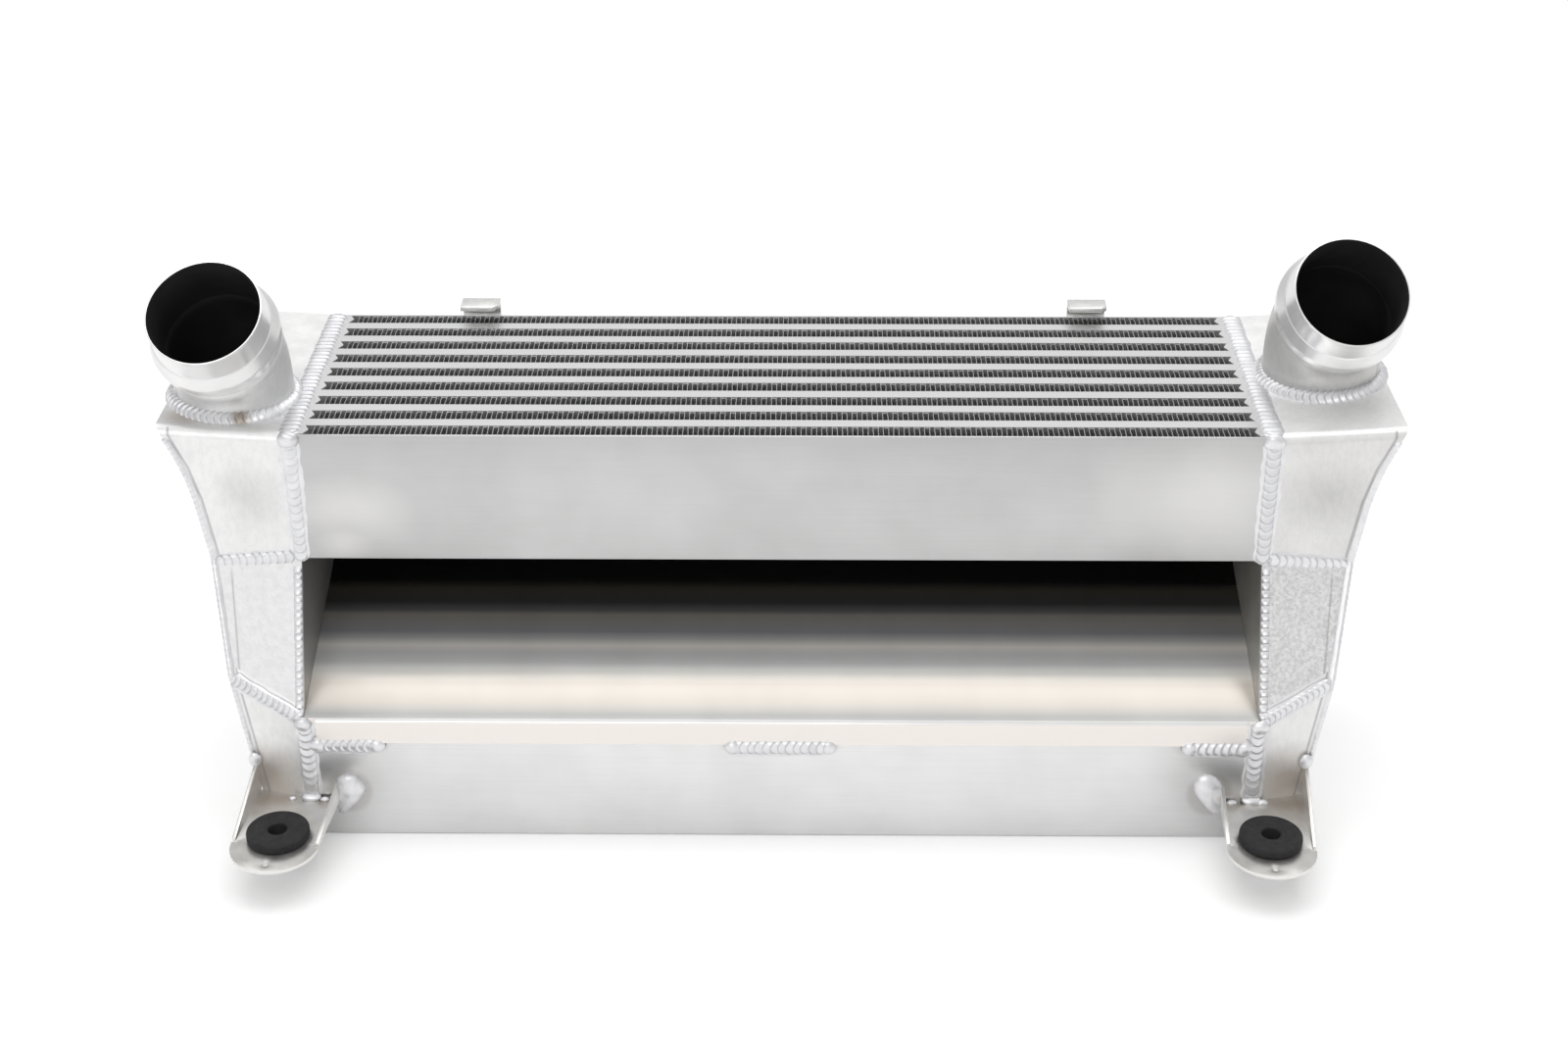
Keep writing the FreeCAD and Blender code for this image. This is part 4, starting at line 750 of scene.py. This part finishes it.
def soft_edges(node, width):
    """A copy of a node's solid with its sharp edges rounded, which stands for the node."""
    source = frame["nodes"][node]
    shape = bmesh.new()
    shape.from_mesh(source.data)
    shape.transform(source.matrix_world)
    bmesh.ops.remove_doubles(shape, verts=shape.verts, dist=1e-6)
    bmesh.ops.dissolve_limit(shape, angle_limit=FLAT_ANGLE, verts=shape.verts, edges=shape.edges)
    sharp = [edge for edge in shape.edges if edge.is_manifold and edge.calc_face_angle(0) > SHARP_ANGLE]
    bmesh.ops.bevel(
        shape, geom=sharp, offset=width / 1000, segments=2, profile=0.5, affect="EDGES", clamp_overlap=True
    )
    bmesh.ops.triangulate(shape, faces=shape.faces)
    mesh = bpy.data.meshes.new(f"{node}_soft")
    shape.to_mesh(mesh)
    shape.free()
    slot_name = slot_of_node[node]
    mesh.materials.clear()
    mesh.materials.append(MATERIALS[slot_name])
    mesh.shade_smooth()
    mesh.set_sharp_from_angle(angle=SHADE_ANGLE)
    made = add_object(f"{node}_soft", mesh)
    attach(made, "root")
    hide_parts(node)


# Rippled weld beads


def path_lengths(path):
    """The distance run at each point of a path."""
    lengths = [0]
    for before, after in zip(path, path[1:]):
        lengths.append(lengths[-1] + (after - before).length)
    return lengths


def even_spots(path, steps):
    """Evenly spaced points of a path, each with the distance run up to it."""
    lengths = path_lengths(path)
    spots = []
    reach = 0
    for step in range(steps + 1):
        run = lengths[-1] * step / steps
        while reach < len(path) - 2 and lengths[reach + 1] < run:
            reach += 1
        share = (run - lengths[reach]) / max(lengths[reach + 1] - lengths[reach], 1e-9)
        spots.append((run, path[reach].lerp(path[reach + 1], share)))
    return spots


def at_run(value, run):
    """A value that may be a function of the distance run."""
    return value(run) if callable(value) else value


def end_taper(run, total, wide):
    """Share of its full size that a bead has near its round ends."""
    share = min(1, min(run, total - run) / (wide * 0.5))
    return max(0.02, math.sqrt(max(0, 1 - (1 - share) ** 2)))


class BeadMesh:
    """Collects the surfaces of several beads into one piece."""

    def __init__(self):
        self.points = []
        self.faces = []

    def add(self, path, across, up, width, height, pitch, ripple, curl, seed, closed=False, flat=3):
        """A rippled bead along path; across, up and width may be functions of the distance run."""
        total = path_lengths(path)[-1]
        steps = max(8, int(total / pitch * 10))
        columns = 15
        start = len(self.points)
        rows = steps if closed else steps + 1
        for run, spot in even_spots(path, steps)[:rows]:
            side = at_run(across, run)
            rise = at_run(up, run)
            wide = at_run(width, run)
            taper = 1 if closed else end_taper(run, total, wide)
            wide = wide * taper
            high = height * taper
            wobble = 1 + 0.1 * noise.noise(Vector((run * 0.15, seed * 3.1, 0.5)))
            drift = 0.5 * noise.noise(Vector((run * 0.2, seed, 1)))
            for column in range(columns):
                level = -1 + 2 * column / (columns - 1)
                bow = math.sqrt(1 - abs(level) ** flat)
                phase = (run + curl * pitch * 2 * (1 - level * level) + drift) / pitch
                part = phase - math.floor(phase)
                crest = part ** 1.4 * min(1, (1 - part) * 6)
                jitter = 1 + 0.35 * noise.noise(Vector((math.floor(phase) * 1.7, seed, 4)))
                lift = high * bow * (1 - ripple + ripple * crest * jitter)
                self.points.append(spot + side * (level * wide / 2 * wobble) + rise * lift)
        self.faces += grid_faces(rows, columns, start, close_rows=closed)

    def strip(self, path, across, up, width, height, seed):
        """The smooth melted border below a bead, its edges wandering; width may be a function too."""
        total = path_lengths(path)[-1]
        steps = max(8, int(total / 1.6))
        columns = 9
        start = len(self.points)
        for run, spot in even_spots(path, steps):
            wide = at_run(width, run)
            taper = end_taper(run, total, wide)
            for column in range(columns):
                level = -1 + 2 * column / (columns - 1)
                half = 1 if level > 0 else -1
                uneven = 1 + 0.22 * noise.noise(Vector((run * 0.16, seed + half * 5.3, 2)))
                place = spot + across * (level * wide / 2 * uneven * taper)
                self.points.append(place + up * (height * math.sqrt(1 - level ** 8) * taper))
        self.faces += grid_faces(steps + 1, columns, start)

    def weld(self, path, across, up, border, width, height, pitch, ripple, curl, seed, flat=3, rim=0.5):
        """A bead on its melted border; border and rim are the border's width and height."""
        self.strip(path, across, up, border, rim, seed)
        self.add(path, across, up, width, height, pitch, ripple, curl, seed, flat=flat)

    def blob(self, centre, across, along, up, radii, seed):
        """A smooth lump of weld metal with an oval outline."""
        outline = []
        columns = 24
        for column in range(columns):
            turn = 2 * math.pi * column / columns
            uneven = 1 + 0.12 * noise.noise(Vector((math.cos(turn), math.sin(turn), seed)))
            outline.append((radii[0] * uneven * math.cos(turn), radii[1] * uneven * math.sin(turn)))
        self.patch(centre, across, along, up, outline, radii[2], seed)

    def patch(self, centre, across, along, up, outline, height, seed):
        """A lump over any outline, given as (across, along) from its centre."""
        start = len(self.points)
        rows = 10
        for row in range(rows):
            angle = math.pi / 2 * row / (rows - 1)
            for flat, tall in outline:
                share = math.cos(angle)
                spot = centre + across * (flat * share) + along * (tall * share)
                uneven = 1 + 0.10 * noise.noise(spot * 0.25 + Vector((seed, 0, 0)))
                self.points.append(spot + up * (height * math.sin(angle) * uneven))
        self.faces += grid_faces(rows, len(outline), start, close_columns=True)

    def make(self, name, node):
        piece(name, self.points, self.faces, "weld", [node])


def core_beads(side_name, side):
    """Beads over the fin face's end, and down the upper and the lower front corners."""
    beads = BeadMesh()
    right = RIGHTWARD * side
    end = CORE_END * side
    top = [Vector((end, UPPER_FRONT + 1.5, UPPER_TOP)), Vector((end, UPPER_FRONT + CORE_DEPTH, UPPER_TOP))]
    beads.weld(
        top, right, UPWARD, border=12.4, width=11.2, height=2.8, pitch=4.6, ripple=0.6, curl=0.25, seed=side,
        rim=0.6
    )
    upper = [Vector((end, UPPER_FRONT, UPPER_TOP - 1)), Vector((end, UPPER_FRONT, UPPER_BOTTOM - 2))]
    upper_run = CORE_HEIGHT + 2
    beads.weld(
        upper, right, AHEAD, border=lambda run: 12.2 - 2.4 * run / upper_run,
        width=lambda run: 8.8 - 1.2 * run / upper_run, height=2.4, pitch=4.8, ripple=0.5, curl=-0.28,
        seed=2 + side
    )
    lower = [Vector((end, LOWER_FRONT, LOWER_TOP - 1)), Vector((end, LOWER_FRONT, BRACKET_FLOOR - 1))]
    beads.weld(
        lower, right, AHEAD, border=11.6, width=8.6, height=2.4, pitch=4.8, ripple=0.48, curl=-0.28,
        seed=4 + side
    )
    beads.blob(Vector((end, UPPER_FRONT, UPPER_TOP - 3)), right, UPWARD, AHEAD, (5.8, 5.2, 2.9), side)
    crown = Vector((end + 0.8 * side, LOWER_FRONT, LOWER_TOP - 2))
    beads.blob(crown, right, UPWARD, AHEAD, (5, 4.6, 2.9), side + 3)
    foot = Vector((end + 0.5 * side, LOWER_FRONT - 1.2, BRACKET_FLOOR + 1.4))
    beads.blob(foot, right, Vector((0, 0.7, 0.7)), Vector((0, -0.7, 0.7)), (5.6, 3, 1.6), side + 6)
    beads.make(f"{side_name}_core_beads", f"{side_name}_core_welds")


def seam_ends(side):
    """Inner and outer end of the seam where the middle panel meets the swept lower one."""
    rate = SWEEP / LEAN_BACK
    out = (FOOT_REACH + WALL_RATE * LOWER_TOP) / (1 - WALL_RATE * rate)
    ends = []
    for reach in (0, out):
        across = (CORE_END + reach) * side
        ends.append(Vector((across, LOWER_FRONT + reach * SWEEP, LOWER_TOP + reach * rate)))
    return ends


def tank_beads(side_name, side):
    """Two seams across the tank's front, and the dotted bead beside the duct."""
    beads = BeadMesh()
    normal = Vector((0, -1, 0.25)).normalized()
    start = Vector(((CORE_END + 3) * side, UPPER_FRONT, UPPER_BOTTOM + 1.2))
    end = Vector(((CORE_END + 47.6) * side, UPPER_FRONT + 0.2, UPPER_BOTTOM - 2.6))
    beads.weld(
        [start, end], UPWARD * side, normal, border=11.2, width=9, height=2.3, pitch=4.2, ripple=0.5,
        curl=-0.3 * side, seed=6 + side
    )
    first, last = seam_ends(side)
    along = (last - first).normalized()
    normal = Vector((0, -1, 0.2)).normalized()
    wide = along.cross(normal).normalized()
    seam = [first + along * 1.5, last - along * 0.5]
    beads.weld(
        seam, -wide, normal, border=9, width=7, height=2.2, pitch=3.4, ripple=0.5, curl=-0.3 * side,
        seed=8 + side, flat=2.4
    )
    slope = Vector((0, -LEAN_BACK, -1)).normalized()
    out = Vector((0, -1, LEAN_BACK)).normalized()
    top = Vector(((CORE_END + 2.3) * side, UPPER_FRONT, UPPER_BOTTOM)) + slope * 4
    length = STEP_BACK / math.sin(math.atan(LEAN_BACK)) - 5
    beads.add(
        [top, top + slope * length], RIGHTWARD * side, out, width=4.4, height=2.7, pitch=4.15, ripple=0.9,
        curl=0.05, seed=10 + side, flat=2
    )
    beads.make(f"{side_name}_tank_beads", f"{side_name}_tank_welds")


def ring_bead(side_name, side):
    """Rippled ring around a neck's foot."""
    data = NECKS[side_name]
    centre = Vector((data["x"], data["y"], 0))
    limit = CORE_END + TIP_REACH
    path = []
    count = 120
    for index in range(count + 1):
        angle = 2 * math.pi * index / count
        spot = centre + Vector((math.cos(angle), math.sin(angle), 0)) * (NECK_RADIUS + 1.5)
        spot.x = max(min(spot.x, limit), -limit)
        spot.z = roof_height(spot.x) + 1.2
        path.append(spot)
    total = path_lengths(path)[-1]

    def leaning(rise):
        def direction(run):
            angle = 2 * math.pi * run / total
            return Vector((math.cos(angle), math.sin(angle), rise)).normalized()
        return direction

    beads = BeadMesh()
    beads.add(
        path, leaning(-1), leaning(1.1), width=9, height=3.2, pitch=3.7, ripple=0.55, curl=0.35,
        seed=12 + side, closed=True
    )
    beads.make(f"{side_name}_ring_bead", f"{side_name}_neck_weld")


def lip_beads():
    """Stitches along the lower edge of the deflector's lip, with round ends."""
    beads = BeadMesh()
    for start, end in ((-258, -216.5), (-31, 31), (219, 258)):
        path = [Vector((across, LOWER_FRONT - 0.6, LIP_HEIGHT)) for across in (start, end)]
        beads.weld(
            path, UPWARD, AHEAD, border=12, width=9.4, height=3.2, pitch=4.2, ripple=0.4, curl=0.4,
            seed=start, flat=2.6
        )
        for across in (start + 4.6, end - 4.6):
            centre = Vector((across, LOWER_FRONT - 0.8, LIP_HEIGHT))
            beads.blob(centre, RIGHTWARD, UPWARD, AHEAD, (4.6, 4.5, 3.2), across)
    beads.make("lip_beads", "deflector_welds")


# Outline of the lump beside each bracket's inner flange, across and up from its centre
BLOBS = {
    "left": (
        (-7.4, 6), (-6.4, 9), (-4.3, 10.9), (-1.6, 12.2), (1.4, 12.6), (5.9, 10.7), (8.9, 5.6), (9.2, 1.3),
        (6.3, -3.4), (2, -8.8), (-2.7, -12.8), (-5.4, -14.4), (-7.4, -13.5), (-7.4, -9), (-7.4, -4),
        (-7.4, 1),
    ),
    "right": (
        (-7.4, 5), (-5.4, 9), (-2.4, 12.4), (1, 14.3), (4.1, 14.6), (7.3, 12.9), (9.4, 8.6), (9.3, 4),
        (7.4, -0.6), (4.4, -4.6), (0.9, -9), (-2.4, -11.6), (-5.4, -12.4), (-7.4, -11.5), (-7.4, -7),
        (-7.4, -1),
    ),
}
# Centre and reach of the tacks on each bracket: two on its floor and one at its outer flange's top
TACKS = {
    "left": ((-271, -64.5, 24.4, 2.2), (-253, -65.2, 24.4, 2.6), (-291, -57.5, 45.5, 3.6)),
    "right": ((266.3, -64.6, 24.4, 3.4), (249.5, -64.8, 24.4, 3.2), (289.4, -57.5, 47, 3.8)),
}


def bracket_beads(side_name, side):
    """Lump from above the bracket's inner flange down beside it, and small tacks."""
    beads = BeadMesh()
    inner = bracket_spot(side_name, -24 * side, 0).x
    centre = Vector((inner - 5.6 * side, LOWER_FRONT + 0.2, 28))
    shape = BLOBS[side_name]
    outline = []
    for index, (flat, tall) in enumerate(shape):
        after = shape[(index + 1) % len(shape)]
        for step in range(3):
            share = step / 3
            outline.append((flat + (after[0] - flat) * share, tall + (after[1] - tall) * share))
    beads.patch(centre, RIGHTWARD * -side, UPWARD, AHEAD, outline, 4.6, 1)
    for number, (across, depth, height, reach) in enumerate(TACKS[side_name]):
        on_flange = number == 2
        tall = reach * (1.3 if on_flange else 0.6)
        normal = AHEAD if on_flange else Vector((0, -0.6, 0.8))
        along = UPWARD if on_flange else Vector((0, 0.8, 0.6))
        centre = Vector((across, depth, height))
        beads.blob(centre, RIGHTWARD, along, normal, (reach, tall, reach * 0.5), number)
    beads.make(f"{side_name}_bracket_beads", f"{side_name}_bracket_weld")


def corner_beads(side_name, side):
    """Beads along the tank's outer upright corners."""
    beads = BeadMesh()

    for behind, ahead, height in ((0, -1, 44), (CORE_DEPTH, 1, 4)):
        path = []
        while height < UPPER_TOP - 1:
            reach = flare_reach(height)
            depth = UPPER_FRONT + behind
            if height < UPPER_BOTTOM:
                swept = LOWER_FRONT + (behind if behind else reach * SWEEP)
                depth = max(depth - (UPPER_BOTTOM - height) * LEAN_BACK, swept)
            path.append(Vector(((CORE_END + reach - 0.2) * side, depth, height)))
            height += 2.5
        outward = Vector((side, ahead, 0)).normalized()
        across = Vector((side, -ahead, 0)).normalized()
        path = [spot - outward * 1.9 for spot in path]
        beads.add(
            path, across, outward, width=4.2, height=3.1, pitch=3.4, ripple=0.1, curl=0.3,
            seed=14 + side + ahead, flat=2
        )
    beads.make(f"{side_name}_corner_beads", f"{side_name}_edge_welds")


for core_name, core_front, core_bottom in CORES:
    fine_fins(core_name, core_front, core_bottom)
for side_name, side in SIDES:
    neck_tube(side_name, side)
    turned_adapter(side_name, side)
    rubber_bush(side_name)
    core_beads(side_name, side)
    tank_beads(side_name, side)
    ring_bead(side_name, side)
    bracket_beads(side_name, side)
    corner_beads(side_name, side)
    soft_edges(f"{side_name}_mount_bracket", 0.8)
    soft_edges(f"{side_name}_hanger_hook", 0.5)
for core_name, *_ in CORES:
    soft_edges(f"{core_name}_front_side_plate", 0.45)
lip_beads()

# Floor, light and camera

WHITE = (1, 1, 1, 1)
LIT_SPOT = (0, 0, 0.1)
# Focal length in pixels of the photograph, place in metres and angles in degrees
FOCAL_PIXELS = 2396
PHOTO_WIDTH = 1600
SENSOR_WIDTH = 36
CAMERA_PLACE = (0.0143, -1.1278, 0.7902)
CAMERA_PITCH = 29.02
CAMERA_YAW = -0.652
CAMERA_ROLL = -0.132


def seen_directly(tree):
    """1 for rays from the camera or through something clear, 0 for all others."""
    path = tree.nodes.new("ShaderNodeLightPath")
    return math_node(tree, "MAXIMUM", path.outputs["Is Camera Ray"], path.outputs["Is Transmission Ray"])


def make_floor():
    """A pale floor that looks white to the camera apart from the part's shadow."""
    half = 6
    corners = [(-half, -half, 0), (half, -half, 0), (half, half, 0), (-half, half, 0)]
    mesh = bpy.data.meshes.new("floor")
    mesh.from_pydata(corners, [], [(0, 1, 2, 3)])
    floor = add_object("floor", mesh)
    floor.location.z = -0.0005
    material, tree, shader = new_material("pale_floor", 0, 0.9)
    shader.inputs["Base Color"].default_value = (0.92, 0.92, 0.92, 1)
    shader.inputs["Specular IOR Level"].default_value = 0
    lift = tree.nodes.new("ShaderNodeEmission")
    lift.inputs["Color"].default_value = WHITE
    tree.links.new(math_node(tree, "MULTIPLY", seen_directly(tree), 0.15), lift.inputs["Strength"])
    both = tree.nodes.new("ShaderNodeAddShader")
    tree.links.new(shader.outputs[0], both.inputs[0])
    tree.links.new(lift.outputs[0], both.inputs[1])
    tree.links.new(both.outputs[0], tree.nodes["Material Output"].inputs["Surface"])
    mesh.materials.append(material)


def make_world():
    """A pale sky that lights the part, and pure white behind it."""
    world = bpy.data.worlds.new("studio")
    bpy.context.scene.world = world
    world.use_nodes = True
    tree = world.node_tree
    coords = tree.nodes.new("ShaderNodeTexCoord")
    split = tree.nodes.new("ShaderNodeSeparateXYZ")
    tree.links.new(coords.outputs["Generated"], split.inputs["Vector"])
    sky = tree.nodes["Background"]
    sky.inputs["Strength"].default_value = 0.85
    tone = ramp_node(tree, split.outputs["Z"], ((0, 0.62), (0.25, 0.78), (1, 0.95)))
    tree.links.new(tone, sky.inputs["Color"])
    white = tree.nodes.new("ShaderNodeBackground")
    white.inputs["Color"].default_value = WHITE
    white.inputs["Strength"].default_value = 1
    mix = tree.nodes.new("ShaderNodeMixShader")
    tree.links.new(seen_directly(tree), mix.inputs["Fac"])
    tree.links.new(sky.outputs[0], mix.inputs[1])
    tree.links.new(white.outputs[0], mix.inputs[2])
    tree.links.new(mix.outputs[0], tree.nodes["World Output"].inputs["Surface"])


def area_light(name, place, size, power):
    """A rectangular lamp that faces the part."""
    lamp = bpy.data.lights.new(name, "AREA")
    lamp.shape = "RECTANGLE"
    lamp.size, lamp.size_y = size
    lamp.energy = power
    made = add_object(name, lamp)
    made.location = place
    made.rotation_euler = (Vector(LIT_SPOT) - Vector(place)).to_track_quat("-Z", "Y").to_euler()


def make_camera():
    """The photograph's camera."""
    data = bpy.data.cameras.new("camera")
    data.lens = FOCAL_PIXELS / PHOTO_WIDTH * SENSOR_WIDTH
    data.sensor_width = SENSOR_WIDTH
    data.clip_end = 50
    camera = add_object("camera", data)
    pitch, yaw, roll = (math.radians(angle) for angle in (CAMERA_PITCH, CAMERA_YAW, CAMERA_ROLL))
    forward = Vector((math.sin(yaw) * math.cos(pitch), math.cos(yaw) * math.cos(pitch), -math.sin(pitch)))
    level = Vector((math.cos(yaw), -math.sin(yaw), 0))
    rising = level.cross(forward)
    turned_right = level * math.cos(roll) + rising * math.sin(roll)
    turned_up = rising * math.cos(roll) - level * math.sin(roll)
    axes = Matrix((turned_right, turned_up, -forward)).transposed()
    camera.matrix_world = Matrix.Translation(CAMERA_PLACE) @ axes.to_4x4()
    bpy.context.scene.camera = camera


make_floor()
make_world()
area_light("top_light", (0, 0.35, 1.9), (2.2, 1.4), 18)
area_light("front_light", (-0.6, -2.2, 1.3), (1.6, 1.2), 9)
make_camera()
bpy.context.scene.view_settings.view_transform = "Standard"
